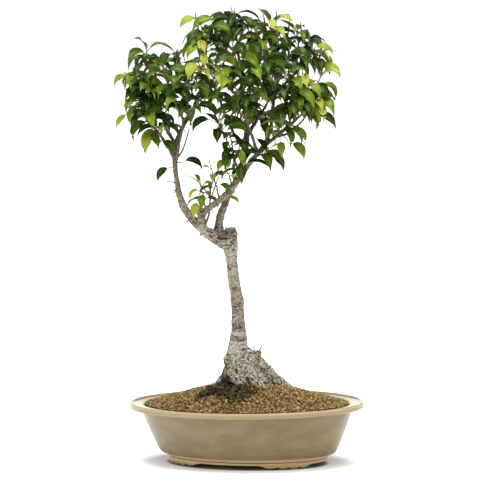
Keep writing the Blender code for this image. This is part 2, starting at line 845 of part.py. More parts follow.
def shoot_mesh(path, leaves):
    """A three-sided stem whose sides open into leaves: one closed skin for the whole shoot."""
    base, control, tip = path
    half = 1.0 * MM / max((tip - base).length, MM)
    first = first_direction(leaves[0][1])
    last = first_direction(leaves[-1][1])
    stops = [(0.0, first)]
    for t, shape in leaves:
        stops += [(t - half, first_direction(shape)), (t + half, first_direction(shape))]
    stops.append((1.0, last))
    bm = bmesh.new()
    rings = []
    sides = []
    for t, facing in stops:
        ring, side = stem_ring(bm, path, t, facing, rings[-1] if rings else None)
        rings.append(ring)
        sides.append(side)
    skin(bm, rings)
    bm.faces.ensure_lookup_table()
    opened = [bm.faces[3 * (2 * i + 1) + sides[2 * i + 1]] for i in range(len(leaves))]
    for face, (_, shape) in zip(opened, leaves):
        grow_leaf(bm, face, shape)
    return bm


def grow_leaf(bm, opened, shape):
    """Replaces a face of the stem by a leaf that starts from the face's edge."""
    sections, end = leaf_sections(*shape)
    rim = list(opened.verts)
    neck = sections[0]
    turns = [[rim[(i + k) % 4] for i in range(4)] for k in range(4)]
    turns += [list(reversed(t)) for t in turns]
    start = min(turns, key=lambda t: sum((a.co - b).length for a, b in zip(t, neck)))
    rings = [start] + [[bm.verts.new(p) for p in section] for section in sections]
    point = bm.verts.new(end)
    skin(bm, rings, cap_first=False, cap_last=False)
    last = rings[-1]
    for i in range(4):
        bm.faces.new((last[i], last[(i + 1) % 4], point))
    bm.faces.remove(opened)


def wood_tree(tree):
    """The finished wood's surface, for overlap tests."""
    graph = bpy.context.evaluated_depsgraph_get()
    return BVHTree.FromObject(tree, graph)


def stem_tree(path):
    base, control, tip = path
    points = [bezier(base, control, tip, i / 8) for i in range(9)]
    corners = []
    for p, (_, side, across) in zip(points, frames(points)):
        for i in range(3):
            turn = 2 * math.pi * i / 3
            offset = side * math.cos(turn) + across * math.sin(turn)
            corners.append(p + offset * (SHOOT_RADIUS + GAP))
    faces = [(3 * n + i, 3 * n + (i + 1) % 3, 3 * n + 3 + (i + 1) % 3, 3 * n + 3 + i)
             for n in range(8) for i in range(3)]
    return BVHTree.FromPolygons(corners, faces)


def clear_path(tip, limbs, wood, stems):
    """The first curve to a tip that meets no other stem, moved out until it clears the wood."""
    for base, control, tip in shoot_paths(tip, limbs):
        for _ in range(12):
            if not stem_tree((base, control, tip)).overlap(wood):
                break
            base = base + (control - base).normalized() * 0.5 * MM
        tree = stem_tree((base, control, tip))
        if not any(tree.overlap(other) for other in (wood, *stems)):
            return (base, control, tip), tree


def make_shoots(wood, finish):
    limbs = limb_points()
    paths = {}
    stems = {}
    for region, tips in SHOOT_TIPS.items():
        for i, tip in enumerate(tips):
            name = f"shoot_{region}_{i + 1}"
            paths[name], stems[name] = clear_path(v(*tip), limbs, wood, stems.values())
    total = 0
    clear_of = [wood, *stems.values()]
    for index, (name, path) in enumerate(paths.items()):
        own = stems[name]
        clear_of.remove(own)
        leaves = shoot_leaves(index, path, clear_of)
        clear_of.append(own)
        total += len(leaves)
        add_object(name, shoot_mesh(path, leaves), finish)
    return total


def main():
    for old in list(bpy.data.objects):
        bpy.data.objects.remove(old)
    bark = material("bark", (0.36, 0.32, 0.26), 0.85)
    earth = material("soil_grain", (0.26, 0.17, 0.07), 0.95)
    stone = material("pumice", (0.45, 0.42, 0.38), 0.9)
    plastic = material("screen_plastic", (0.03, 0.03, 0.03), 0.5)
    wire = material("aluminium_wire", (0.5, 0.42, 0.34), 0.4, 0.9)
    leaf = material("leaf", (0.08, 0.2, 0.03), 0.35)

    make_pot()
    pockets = []
    for side, (x, y) in zip(("left", "right"), drain_holes()):
        make_screen(f"drain_screen_{side}", x, y, plastic)
        path = clip_path(x, y, CLIP_WIRE_DIAMETER)
        wire_tube(f"screen_clip_{side}", path, CLIP_WIRE_DIAMETER, wire)
        pockets.append(screen_pocket(f"screen_pocket_{side}", x, y, plastic))
    anchor = anchor_path(ANCHOR_WIRE_DIAMETER)
    wire_tube("anchor_wire", anchor, ANCHOR_WIRE_DIAMETER, wire)
    channel = wire_tube(
        "anchor_channel", anchor, ANCHOR_WIRE_DIAMETER, wire, grow=2 * GAP, helper=True
    )
    make_gravel(stone, [*pockets, channel])
    make_soil(earth, [channel, *root_cutters(bark)])
    tree = make_tree(bark)
    make_shoots(wood_tree(tree), leaf)


main()
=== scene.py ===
"""The looks of a small-leaved fig bonsai in an oval stoneware pot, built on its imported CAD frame."""

import math
import random

import bmesh
import bpy
from mathutils import Matrix, Vector, noise


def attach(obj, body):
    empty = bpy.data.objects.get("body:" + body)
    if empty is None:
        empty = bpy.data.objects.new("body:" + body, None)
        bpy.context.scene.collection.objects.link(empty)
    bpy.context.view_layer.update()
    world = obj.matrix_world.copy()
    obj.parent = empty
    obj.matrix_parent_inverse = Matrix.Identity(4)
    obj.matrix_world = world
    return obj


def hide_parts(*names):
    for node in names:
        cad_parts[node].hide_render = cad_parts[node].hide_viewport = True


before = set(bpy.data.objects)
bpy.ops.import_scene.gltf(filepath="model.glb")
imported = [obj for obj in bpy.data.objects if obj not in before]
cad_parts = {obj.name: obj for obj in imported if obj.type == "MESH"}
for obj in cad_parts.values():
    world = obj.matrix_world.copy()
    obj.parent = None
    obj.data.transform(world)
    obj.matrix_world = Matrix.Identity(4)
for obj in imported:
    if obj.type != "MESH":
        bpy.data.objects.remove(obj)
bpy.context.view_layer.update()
MM = 0.001

# ==== Pot =====================================================================================
# Slip-cast stoneware: an oval bowl with an overhanging lip, a moulded ridge, a skirt and four cloud
# feet made with the body, under a thin beige satin glaze, a little darker in the groove over the foot
# ring and towards the feet's lower edges. Painted light: the band below the ridge is lightened for the
# light thrown up from the table, the lip for the light it catches, and the lip's top has a painted
# glare.

POT_TURN = math.radians(24)
POT_PLACE = Matrix.Translation((1.5 * MM, 0, 0)) @ Matrix.Rotation(-POT_TURN, 4, "Z")
LIP_LENGTH = 306 * MM
LIP_WIDTH = 210 * MM
POT_SIDES = 176
# heights of the section, in millimetres
LIP_UNDERSIDE = 69
WALL_FOOT = 17.5
BASE_UNDER = 5
BASE_TOP = 12
FOOT_TOP = 7.2
# how far in from the lip's edge the wall starts, how much further its foot is, and its slight bow
WALL_INSET, WALL_SLOPE, WALL_BOW = 14, 21, 0.6
# the lower edge of a foot: degrees from its middle, height in millimetres
FOOT_LOBES = [(-25, 5.6), (-21, 3.9), (-18.5, 1.6), (-14.5, 0.8), (-11.2, 1.7), (-9.6, 3.1)]
FOOT_LOBES += [(-8.2, 1.0), (-5.5, 0.0), (-2.8, 0.9), (-1.3, 2.7), (0.2, 0.9), (3.2, 0.0)]
FOOT_LOBES += [(6.2, 1.0), (7.6, 2.9), (9.2, 1.6), (12, 0.8), (15.4, 1.6), (18, 3.9), (23, 5.6)]
FOOT_MIDDLES = {"right_front": -45, "right_rear": 45, "left_rear": 135, "left_front": -135}
EDGE_ANGLE = 50
DRAIN_HOLES = [(-52 * MM, 0.0, 9 * MM), (52 * MM, 0.0, 9 * MM)]
WIRE_HOLES = [(-24 * MM, -34 * MM, 2.5 * MM), (24 * MM, -34 * MM, 2.5 * MM)]
CLAY = (0.112, 0.079, 0.028)
CLAY_LIGHT = (0.152, 0.110, 0.043)
# painted light: the band below the ridge and the glare on the lip's top use this lighter clay, and the
# lip the next
CLAY_PAINTED_LIGHT = (0.470, 0.362, 0.180)
CLAY_LIP_PAINTED_LIGHT = (0.250, 0.192, 0.100)
CLAY_DARK = (0.078, 0.054, 0.021)


class Value:
    """One output of a shader node. Arithmetic on values adds the Math nodes for it."""

    def __init__(self, nodes, output):
        self.nodes = nodes
        self.output = output

    def math(self, operation, first, second):
        return self.nodes.node("ShaderNodeMath", {"operation": operation}, {0: first, 1: second})

    def through(self, operation):
        """The value put through a function of one number, such as a sine."""
        return self.nodes.node("ShaderNodeMath", {"operation": operation}, {0: self})

    def __add__(self, other):
        return self.math("ADD", self, other)

    def __sub__(self, other):
        return self.math("SUBTRACT", self, other)

    def __rsub__(self, other):
        return self.math("SUBTRACT", other, self)

    def __mul__(self, other):
        return self.math("MULTIPLY", self, other)

    __radd__ = __add__
    __rmul__ = __mul__

    def rise(self, low, high):
        """0 below low, 1 above high, and a smooth step between; falls if low is above high."""
        settings = {"interpolation_type": "SMOOTHSTEP"}
        sockets = {"Value": self, "From Min": low, "From Max": high}
        if low > high:
            sockets.update({"From Min": high, "From Max": low, "To Min": 1.0, "To Max": 0.0})
        return self.nodes.node("ShaderNodeMapRange", settings, sockets)


class Nodes:
    """A shader's node tree, and the one way of adding a node to it."""

    def __init__(self, tree):
        self.tree = tree

    def node(self, kind, settings=None, sockets=None, output=0):
        """Adds a node: its settings or ramp stops first, then the values or links of its sockets."""
        made = self.tree.nodes.new(kind)
        for name, value in (settings or {}).items():
            if name == "stops":
                ramp = made.color_ramp.elements
                while len(ramp) < len(value):
                    ramp.new(0.5)
                for element, (position, colour) in zip(ramp, value):
                    element.position = position
                    element.color = (*colour, 1)
            else:
                setattr(made, name, value)
        for name, value in (sockets or {}).items():
            self.feed(made.inputs[name], value)
        return Value(self, made.outputs[output])

    def feed(self, socket, value):
        if isinstance(value, Value):
            self.tree.links.new(value.output, socket)
        elif isinstance(value, tuple) and socket.type == "RGBA":
            socket.default_value = (*value, 1)
        else:
            socket.default_value = value


class Finish(Nodes):
    """A procedural material: its Principled shader, and the nodes that feed it."""

    def __init__(self, name, **constants):
        self.material = bpy.data.materials.new(name)
        self.material.use_nodes = True
        super().__init__(self.material.node_tree)
        self.shader = self.tree.nodes["Principled BSDF"]
        for name, value in constants.items():
            self.feed(self.shader.inputs[name.replace("_", " ").title().replace("Ior", "IOR")], value)
        self.place = self.node("ShaderNodeTexCoord", output="Object")

    def stretched(self, x, y, z):
        sockets = {0: self.place, 1: (x, y, z)}
        return self.node("ShaderNodeVectorMath", {"operation": "MULTIPLY"}, sockets)

    def noise(self, scale, detail=3.0, roughness=0.55, place=None):
        sockets = {"Scale": scale, "Detail": detail, "Roughness": roughness}
        return self.node("ShaderNodeTexNoise", {}, {"Vector": place or self.place, **sockets})

    def mix(self, share, first, second):
        """The first colour, with this share of the second over it."""
        sockets = {0: share, 6: first, 7: second}
        return self.node("ShaderNodeMix", {"data_type": "RGBA"}, sockets, output=2)

    def attribute(self, name):
        return self.node("ShaderNodeAttribute", {"attribute_name": name}, output="Fac")

    def axis(self, letter):
        return self.node("ShaderNodeSeparateXYZ", {}, {0: self.place}, output=letter)

    def bump(self, height, distance, strength=1.0, under=None):
        sockets = {"Height": height, "Distance": distance, "Strength": strength}
        if under:
            sockets["Normal"] = under
        return self.node("ShaderNodeBump", {}, sockets)

    def cover(self, **sockets):
        for name, value in sockets.items():
            self.feed(self.shader.inputs[name.replace("_", " ").title()], value)
        return self.material


def skin(bm, rings):
    """Faces between rings of vertices, each ring as long as the next, and over the end rings."""
    for low, high in zip(rings, rings[1:]):
        for i in range(len(low)):
            j = (i + 1) % len(low)
            bm.faces.new((low[i], low[j], high[j], high[i]))
    bm.faces.new(reversed(rings[0]))
    bm.faces.new(rings[-1])


def piece(name, bm, *finishes, place=None, sharp=EDGE_ANGLE):
    """A finished mesh as an object with its materials, smooth but for edges sharper than an angle."""
    bmesh.ops.recalc_face_normals(bm, faces=bm.faces)
    mesh = bpy.data.meshes.new(name)
    bm.to_mesh(mesh)
    bm.free()
    if place:
        mesh.transform(place)
    mesh.shade_smooth()
    mesh.set_sharp_from_angle(angle=math.radians(sharp))
    for finish in finishes:
        mesh.materials.append(finish)
    made = bpy.data.objects.new(name, mesh)
    bpy.context.scene.collection.objects.link(made)
    return made


def apply_modifiers(made):
    """Turns an object's modifiers into its mesh."""
    graph = bpy.context.evaluated_depsgraph_get()
    mesh = bpy.data.meshes.new_from_object(made.evaluated_get(graph))
    made.modifiers.clear()
    made.data = mesh


def filleted(corners):
    """A section's points with each corner (inset, height, radius) in millimetres rounded off."""
    points = [Vector(c[:2]) for c in corners]
    made = [points[0]]
    for before, here, after, corner in zip(points, points[1:], points[2:], corners[1:]):
        back = (before - here).normalized() * min(corner[2], (before - here).length * 0.48)
        on = (after - here).normalized() * min(corner[2], (after - here).length * 0.48)
        for t in (0, 0.25, 0.5, 0.75, 1):
            made.append(here + back * (1 - t) ** 2 + on * t * t)
    return [(p.x * MM, p.y * MM) for p in (*made, points[-1])]


def wall_inset(z):
    """How far in from the lip's edge the outside of the wall is at a height in millimetres."""
    share = (LIP_UNDERSIDE - z) / (LIP_UNDERSIDE - WALL_FOOT)
    return WALL_INSET + WALL_SLOPE * share - WALL_BOW * math.sin(math.pi * min(max(share, 0), 1))


def on_oval(inset, turn, z):
    """A point this far in from the lip's edge."""
    half_length, half_width = LIP_LENGTH / 2 - inset, LIP_WIDTH / 2 - inset
    return Vector((half_length * math.cos(turn), half_width * math.sin(turn), z))


def oval(inset, z, sides=POT_SIDES):
    return [on_oval(inset, 2 * math.pi * i / sides, z) for i in range(sides)]


def pot_section():
    """The bowl's section, up the outside and down the inside, as filleted() takes it."""
    foot_ring = [(53, BASE_UNDER, 0), (48.4, BASE_UNDER, 0.9), (47.6, 8.1, 0.4), (49.2, 8.7, 0.3)]
    skirt = [(46.4, 9.2, 0.7), (45.3, 11.9, 0.9), (42.8, 12.6, 0.7), (38.2, 13.8, 2.2)]
    skirt += [(wall_inset(18.5) - 0.1, 18.5, 2.6)]
    wall = [(wall_inset(z), z, 4) for z in (24, 36, 48, 58)]
    lip = [(14.6, 67.6, 1.6), (3.0, 68.9, 1.8), (0.0, 70.4, 1.2), (0.5, 73.4, 1.2), (0.0, 76.0, 0.9)]
    lip += [(1.4, 77.0, 0.8), (3.3, 76.6, 0.8), (4.6, 74.9, 1.0), (16.6, 74.4, 1.2)]
    inside = [(18.5, 73.2, 1.0), (27.0, 57.8, 3.0), (wall_inset(20) + 6.5, 20, 3.0)]
    inside += [(wall_inset(BASE_TOP) + 11.5, BASE_TOP, 0)]
    return filleted([*foot_ring, *skirt, *wall, *lip, *inside])


def stoneware():
    """The glaze: faint cloudy tone, fine specks, darker in the groove and at the feet's lower edges, a
    satin coat, and painted light on the lower band and the lip, with a painted glare on the lip's top.
    """
    glaze = Finish(
        "stoneware_glaze", coat_weight=0.36, coat_roughness=0.18, ior=1.5, specular_ior_level=0.3
    )
    cloud = glaze.noise(34.0, 5.0, place=glaze.stretched(1, 1, 2.2))
    streak = glaze.noise(60.0, 3.0, place=glaze.stretched(1, 1, 0.12))
    speck = glaze.noise(950.0, 1.0).rise(0.70, 0.78)
    # bands up the pot, by height in metres
    z = glaze.axis("Z")
    ridge = z.rise(0.0150, 0.0125)
    lip = z.rise(0.0690, 0.0712)
    lip_top = z.rise(0.0738, 0.0746)
    recess = z.rise(0.0102, 0.0088) * z.rise(0.0076, 0.0086)
    foot_edge = z.rise(0.0065, 0.0030)
    tone = glaze.mix(cloud.rise(0.30, 0.70), CLAY, CLAY_LIGHT)
    tone = glaze.mix(streak.rise(0.45, 0.80) * 0.25, tone, CLAY_DARK)
    # painted light: below the ridge the clay is lightened for the table's light thrown up on it; the
    # lip is lightened for the light it catches, with a painted glare on its top
    tone = glaze.mix(ridge * 0.9, tone, CLAY_PAINTED_LIGHT)
    tone = glaze.mix(lip * 0.8, tone, CLAY_LIP_PAINTED_LIGHT)
    tone = glaze.mix(lip_top * 0.28, tone, CLAY_PAINTED_LIGHT)
    tone = glaze.mix(recess * 0.6, tone, CLAY_DARK)
    tone = glaze.mix(foot_edge * 0.45, tone, CLAY_DARK)
    tone = glaze.mix(speck * 0.35, tone, CLAY_DARK)
    uneven = glaze.bump(glaze.noise(75.0, 2.0), 0.0006, 0.35)
    return glaze.cover(
        base_color=tone,
        roughness=0.36 + 0.16 * cloud + 0.12 * speck,
        normal=glaze.bump(glaze.noise(480.0, 4.0), 0.00012, 0.35, under=uneven),
    )


def cloud_foot(name, middle, finish):
    """A bracket foot: a curved block under the skirt whose lower edge rolls into lobes."""
    edge = []
    for a, b in zip(FOOT_LOBES, FOOT_LOBES[1:]):
        for t in (0, 0.25, 0.5, 0.75):
            blend = t * t * (3 - 2 * t)
            edge.append((a[0] + (b[0] - a[0]) * t, a[1] + (b[1] - a[1]) * blend))
    edge.append(FOOT_LOBES[-1])
    bm = bmesh.new()
    rings = []
    for degrees, low in edge:
        turn = math.radians(middle + degrees)
        deep = FOOT_TOP - low
        belly = deep * 0.16
        section = [(50.0, FOOT_TOP), (48.2, FOOT_TOP), (47.4 - belly * 0.3, (FOOT_TOP + low) / 2 + 0.6)]
        section += [(47.8 - belly, low + deep * 0.22), (49.0, low), (58.5, low), (60.2, low + 0.9)]
        section += [(60.6, FOOT_TOP)]
        rings.append([bm.verts.new(on_oval(inset * MM, turn, z * MM)) for inset, z in section])
    skin(bm, rings)
    return piece(name, bm, finish, place=POT_PLACE, sharp=60)


def cut_holes(target, holes):
    """Drills straight holes (x, y, radius) through the base."""
    bm = bmesh.new()
    for x, y, radius in holes:
        spot = Matrix.Translation((x, y, 8 * MM))
        bmesh.ops.create_cone(
            bm, cap_ends=True, segments=40, radius1=radius, radius2=radius, depth=24 * MM, matrix=spot
        )
    drill = piece("drill", bm, target.data.materials[0], place=POT_PLACE)
    cut = target.modifiers.new("Holes", "BOOLEAN")
    cut.operation = "DIFFERENCE"
    cut.object = drill
    apply_modifiers(target)
    bpy.data.objects.remove(drill)
    target.data.set_sharp_from_angle(angle=math.radians(EDGE_ANGLE))


glaze = stoneware()
bm = bmesh.new()
skin(bm, [[bm.verts.new(p) for p in oval(inset, z)] for inset, z in pot_section()])
pot = piece("pot_body", bm, glaze, place=POT_PLACE)
cut_holes(pot, DRAIN_HOLES + WIRE_HOLES)
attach(pot, "root")
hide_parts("pot")
for corner, middle in FOOT_MIDDLES.items():
    foot = cloud_foot("pot_foot_" + corner, middle, glaze)
    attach(foot, "root")

# ==== Soil ====================================================================================
# A mound of fired-clay grains, two to four millimetres across, pressed round the roots. The bed is
# a closed body built in the mound's shape, coloured near black as painted shade between the grains;
# the loose grains of its top layer are separate crumbs lying on it.

SOIL_REACH = 18.9 * MM
SOIL_EDGE = 74.5 * MM
SOIL_RISE = 26 * MM
BED_DEPTH = 1.7 * MM
BED_SIDES = 128
GRAIN_COUNT = 7600
GRAIN_SIZE = (2.0 * MM, 3.9 * MM)
GRAIN_SHAPES = 24
# one pale lump on top: x, y and radius in millimetres over the pot's oval
PALE_LUMP = (92, -52, 3.6)
# where the soil is wet beside the old surface roots: (x, y, radius) in millimetres in the frame
DAMP = [(-56, -29, 9), (-42, -26, 9), (-30, -30, 10), (-22, -42, 11)]
DAMP += [(-8, -52, 14), (8, -44, 11), (18, -36, 7)]
# the twenty faces of a crumb, between the corners that crumb_shape() gives
CRUMB_FACES = [(0, 11, 5), (0, 5, 1), (0, 1, 7), (0, 7, 10), (0, 10, 11), (1, 5, 9), (5, 11, 4)]
CRUMB_FACES += [(11, 10, 2), (10, 7, 6), (7, 1, 8), (3, 9, 4), (3, 4, 2), (3, 2, 6), (3, 6, 8)]
CRUMB_FACES += [(3, 8, 9), (4, 9, 5), (2, 4, 11), (6, 2, 10), (8, 6, 7), (9, 8, 1)]


def mound(p):
    """Height of the soil over a point of the pot's oval."""
    half_length, half_width = LIP_LENGTH / 2 - SOIL_REACH, LIP_WIDTH / 2 - SOIL_REACH
    share = math.hypot(p.x / half_length, p.y / half_width)
    rise = math.cos(min(share, 1) * math.pi / 2) ** 1.25
    ripple = 0.7 * MM * math.sin(p.x * 190 + 2) * math.sin(p.y * 230 + 1) * (1 - min(share, 1) ** 4)
    return SOIL_EDGE + SOIL_RISE * rise + ripple


def clay_grain(name, tone):
    """Fired clay: each crumb its own brown, with a dusty broken face."""
    finish = Finish(name, specular_ior_level=0.15)
    crumb = finish.noise(650.0, 3.0)
    drift = finish.noise(28.0, 2.0)
    shade = tone(finish) * 0.70 + drift * 0.22 + crumb * 0.30
    stops = [(0.18, (0.018, 0.011, 0.004)), (0.38, (0.101, 0.060, 0.021))]
    stops += [(0.58, (0.214, 0.138, 0.048)), (0.80, (0.350, 0.242, 0.097))]
    stops += [(1.0, (0.505, 0.402, 0.223))]
    colour = finish.node("ShaderNodeValToRGB", {"stops": stops}, {"Fac": shade})
    return finish.cover(
        base_color=colour,
        roughness=0.80 + 0.15 * crumb,
        normal=finish.bump(crumb, 0.0003, 0.6),
    )


def soil_bed():
    """The mound as one closed body: the pot's inside below, a rough crust above."""
    bm = bmesh.new()
    rings = []
    for inset, z in ((42.0, 20.8), (36.5, 42), (26.5, 60), (19.7, 72.6), (18.9, 74.3)):
        rings.append([bm.verts.new(p) for p in oval(inset * MM, z * MM, BED_SIDES)])
    for step in range(44):
        share = 0.985 - step / 45
        ring = [p * share for p in oval(SOIL_REACH, 0, BED_SIDES)]
        lift = [0.9 * MM * noise.noise(p * 420) for p in ring]
        rings.append([bm.verts.new((p.x, p.y, mound(p) - BED_DEPTH + a)) for p, a in zip(ring, lift)])
    skin(bm, rings)
    return piece("soil_bed", bm, dark_bed_painted_shade, place=POT_PLACE)


def crumb_shape(dice):
    """A broken crumb: an icosahedron whose corners are pushed in and out."""
    golden = (1 + 5**0.5) / 2
    flat = [(a, b) for b in (golden, -golden) for a in (-1, 1)]
    corners = [(a, b, 0) for a, b in flat] + [(0, a, b) for a, b in flat] + [(b, 0, a) for a, b in flat]
    return [Vector(c).normalized() * dice.uniform(0.74, 1.12) for c in corners]


def scatter_grains(finish):
    """Crumbs spread evenly over the mound, each turned and squashed its own way."""
    dice = random.Random(11)
    shapes = [crumb_shape(dice) for _ in range(GRAIN_SHAPES)]
    places = []
    for _ in range(GRAIN_COUNT):
        share, turn = dice.random() ** 0.5, dice.uniform(0, 2 * math.pi)
        p = on_oval(20 * MM, turn, 0) * share
        spot = (POT_PLACE @ p) / MM
        damp = max(1.2 - math.hypot(spot.x - x, spot.y - y) / r for x, y, r in DAMP)
        shade = dice.gauss(0.48, 0.21) - 0.50 * min(max(damp, 0), 1) * dice.random() ** 0.35
        places.append((p, dice.uniform(*GRAIN_SIZE) / 2, shade))
    x, y, radius = PALE_LUMP
    places.append((Vector((x, y, 0)) * MM, radius * MM, 1.0))
    bm = bmesh.new()
    tone = bm.verts.layers.float.new("tone")
    for p, radius, shade in places:
        turn = dice.uniform(0, 6.28)
        spin = Matrix.Rotation(turn, 3, Vector((dice.gauss(0, 1), dice.gauss(0, 1), 1)))
        squash = Vector((1, dice.uniform(0.75, 1.0), dice.uniform(0.62, 0.95)))
        centre = Vector((p.x, p.y, mound(p) + radius * dice.uniform(-0.35, 0.35)))
        corners = []
        for c in shapes[dice.randrange(GRAIN_SHAPES)]:
            corner = bm.verts.new(centre + spin @ (c * squash) * radius)
            corner[tone] = shade
            corners.append(corner)
        for face in CRUMB_FACES:
            bm.faces.new([corners[i] for i in face])
    return piece("soil_grains", bm, finish, place=POT_PLACE, sharp=20)


fired_clay = clay_grain("fired_clay_grain", lambda finish: finish.attribute("tone"))
# painted shade: the bed under the grains is coloured near black for the shade in the gaps between them
dark_bed_painted_shade = clay_grain("dark_bed_painted_shade", lambda finish: finish.noise(330.0, 2.0) * 0.20)
bed = soil_bed()
crumbs = scatter_grains(fired_clay)
for made in (bed, crumbs):
    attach(made, "root")
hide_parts("soil")

# ==== Tree ====================================================================================
# One grown piece of fig wood: a flared, fissured foot of fused roots, a smooth ringed trunk that was
# cut off and left a jagged stub, and limbs that were wired and pruned from it over the years.

# curves of the wood: knots (x, y, z, radius) in millimetres in the frame
TRUNK = [
    (-5.5, 0, 72.5, 15), (-6, 0, 94.5, 21), (-6, 0, 112.5, 19.5), (-6, 0, 128.5, 16.5),
    (-5.5, 0, 141.5, 13.6), (-4.5, 0, 153.5, 11.4), (-4, 0, 166.5, 9.3), (-4.5, 0, 179.5, 8.2),
    (-4, 0, 191.5, 8.1), (-4.5, 0, 203.5, 8.7), (-5.5, 0, 215.5, 7.5), (-7.5, 0, 228.5, 7.4),
    (-8.5, 0, 242, 7.3), (-9.5, 0, 254, 7.5), (-10, 0, 265, 8.8), (-10, 0, 277, 9.6),
    (-10, 0.5, 286, 9.2), (-10.5, 1, 293, 7.4),
]
LIMBS = {
    "neck": [(-8.5, 0, 269, 8), (-18, -1, 277, 9), (-29, -2, 283.5, 8.2), (-41.5, -3, 291.5, 7)],
    "left_limb": [
        (-34.5, -2.5, 285.5, 6.5), (-50.5, -4, 300.5, 5.7), (-59, -6, 311, 5.2), (-67, -8, 324.5, 4.9),
        (-72, -9, 343.5, 3.7), (-74.5, -9, 368.5, 3.1), (-75, -8, 386.5, 3.1), (-73, -6, 400.5, 3),
        (-66.5, -3, 416, 2.8), (-56, 1, 433, 2.6), (-46, 5, 449, 2.3), (-36, 9, 466, 1.9),
        (-28.5, 11, 485.5, 1.5),
    ],
    "left_outer": [
        (-75, -8, 383.5, 2.6), (-88.5, -14, 408, 2), (-99, -19, 423, 1.7), (-109, -21, 440.5, 1.4),
    ],
    "left_rear": [
        (-73, -6, 399.5, 2.4), (-85, 14, 420, 1.9), (-90, 28, 438, 1.5), (-92.5, 34, 454, 1.3),
    ],
    "left_front": [
        (-74, -8, 377.5, 2.2), (-67.5, -22, 403.5, 1.7), (-63, -34, 429, 1.4), (-70, -40, 449.5, 1.2),
    ],
    "middle_limb": [
        (-40.5, -4, 290.5, 5.2), (-44.5, -9, 303.5, 4.8), (-43, -11.5, 314.5, 5.2),
        (-35, -12, 320, 4.2), (-23.5, -12, 327.5, 3.9), (-13.5, -11, 336.5, 3.8), (-3, -9, 347, 3.8),
        (7.5, -9, 360.5, 3.5), (18, -10, 375, 3.3), (28, -12, 385.5, 3), (37, -14, 395.5, 2.8),
        (51, -17, 405.5, 2.3), (67.5, -20, 418.5, 1.9), (88, -22, 435.5, 1.4),
    ],
    "right_limb": [
        (-25, 1, 280.5, 7), (-23, 4, 303.5, 5.1), (-17.5, 6, 319, 4.6), (-10, 8, 334.5, 4.3),
        (-3, 10, 346.5, 4.1), (4, 12, 360.5, 4), (9, 14, 374, 4), (13, 16, 390, 4), (15, 17, 407, 3.7),
        (16, 17, 427, 3.1), (13.5, 14, 450.5, 2.6), (11, 10, 474.5, 2.2), (9, 7, 500.5, 1.7),
        (7, 5, 524.5, 1.3),
    ],
    "upright": [
        (36, -13, 394.5, 2.6), (44.5, -10, 415, 2.5), (48, -7, 439, 2.3), (52, -4, 462.5, 2),
        (53, -1, 488.5, 1.6), (52.5, 1, 512.5, 1.3),
    ],
    "upper_left": [
        (13.5, 14, 449.5, 2.2), (-5, 8, 467, 1.8), (-21.5, 1, 487.5, 1.5), (-31, -3, 508, 1.3),
    ],
    "rear_right": [
        (14.5, 17, 405.5, 2.8), (29, 36, 426, 2.1), (44.5, 48, 449, 1.6), (55, 50, 470.5, 1.3),
    ],
    "rear_left": [
        (12, 16, 388.5, 2.6), (-1.5, 36, 410.5, 2), (-12, 50, 435, 1.6), (-19.5, 48, 459.5, 1.3),
    ],
    "front": [
        (27, -12, 384, 2.4), (22.5, -32, 404, 1.9), (15, -44, 428.5, 1.5), (12.5, -46, 452.5, 1.2),
    ],
    "right_upper": [(51, -4, 458.5, 1.9), (69, 0, 474, 1.5), (85.5, 4, 489.5, 1.3)],
    "right_lower": [(50.5, -17, 404.5, 1.8), (68.5, -6, 410, 1.5), (85, 4, 423.5, 1.3)],
}
ROOTS = {
    "right": [
        (1, -2, 140.5, 8), (16.5, -3, 126, 9), (34, -4, 108.5, 7.6), (49, -5, 96.5, 6),
        (64, -6, 86, 4.4), (80.5, -8, 73.5, 2.6),
    ],
    "right_low": [(5.5, -4, 114.5, 15), (18, -5, 100.5, 13), (31, -6, 90.5, 9.5), (43, -6, 82, 6)],
    "right_front": [
        (2.5, -8, 122.5, 10), (17, -20, 101, 7.4), (32.5, -31, 85.5, 4.6), (48.5, -40, 68.5, 2.4),
    ],
    "left": [
        (-9.5, -2, 126.5, 10), (-20, -4, 109, 8.2), (-33, -6, 96.5, 6), (-51.5, -9, 84.5, 3.6),
        (-67.5, -12, 73, 2),
    ],
    "left_front": [
        (-12, -8, 114.5, 8.5), (-25, -19, 98.5, 5.4), (-37, -28, 88, 3.4), (-50, -36, 76, 2),
    ],
    "front": [(-3, -8, 116.5, 10), (-2, -20, 97.5, 7), (-2.5, -30, 84.5, 4.6), (-4, -40, 68.5, 2.2)],
    "rear": [(-4, 8, 118.5, 10), (-10, 24, 96.5, 6.5), (-14.5, 42, 83, 3.8), (-18, 58, 69, 2.2)],
    "rear_right": [(2, 8, 118.5, 9.5), (17, 24, 95, 6), (34.5, 38, 77.5, 3), (46, 46, 66.5, 2)],
    "burl": [(-15, -9, 108, 6.4), (-18, -10, 119, 6.2), (-18.5, -9, 130, 5.6), (-14, -6, 140, 4.4)],
    "stub": [(10, -5, 118, 6), (16.5, -7, 130, 5.2), (19.5, -8, 140, 4.6)],
    "knot": [(-44, -10, 310.5, 4.6), (-47, -11.5, 317.5, 4.9), (-49.5, -12, 320.5, 4.2)],
}
# the side of a cell of the skin that fuses the curves into one piece
WOOD_CELL = 0.9 * MM
# above this height the cut end of the trunk is jagged
STUB_TOP = 287 * MM
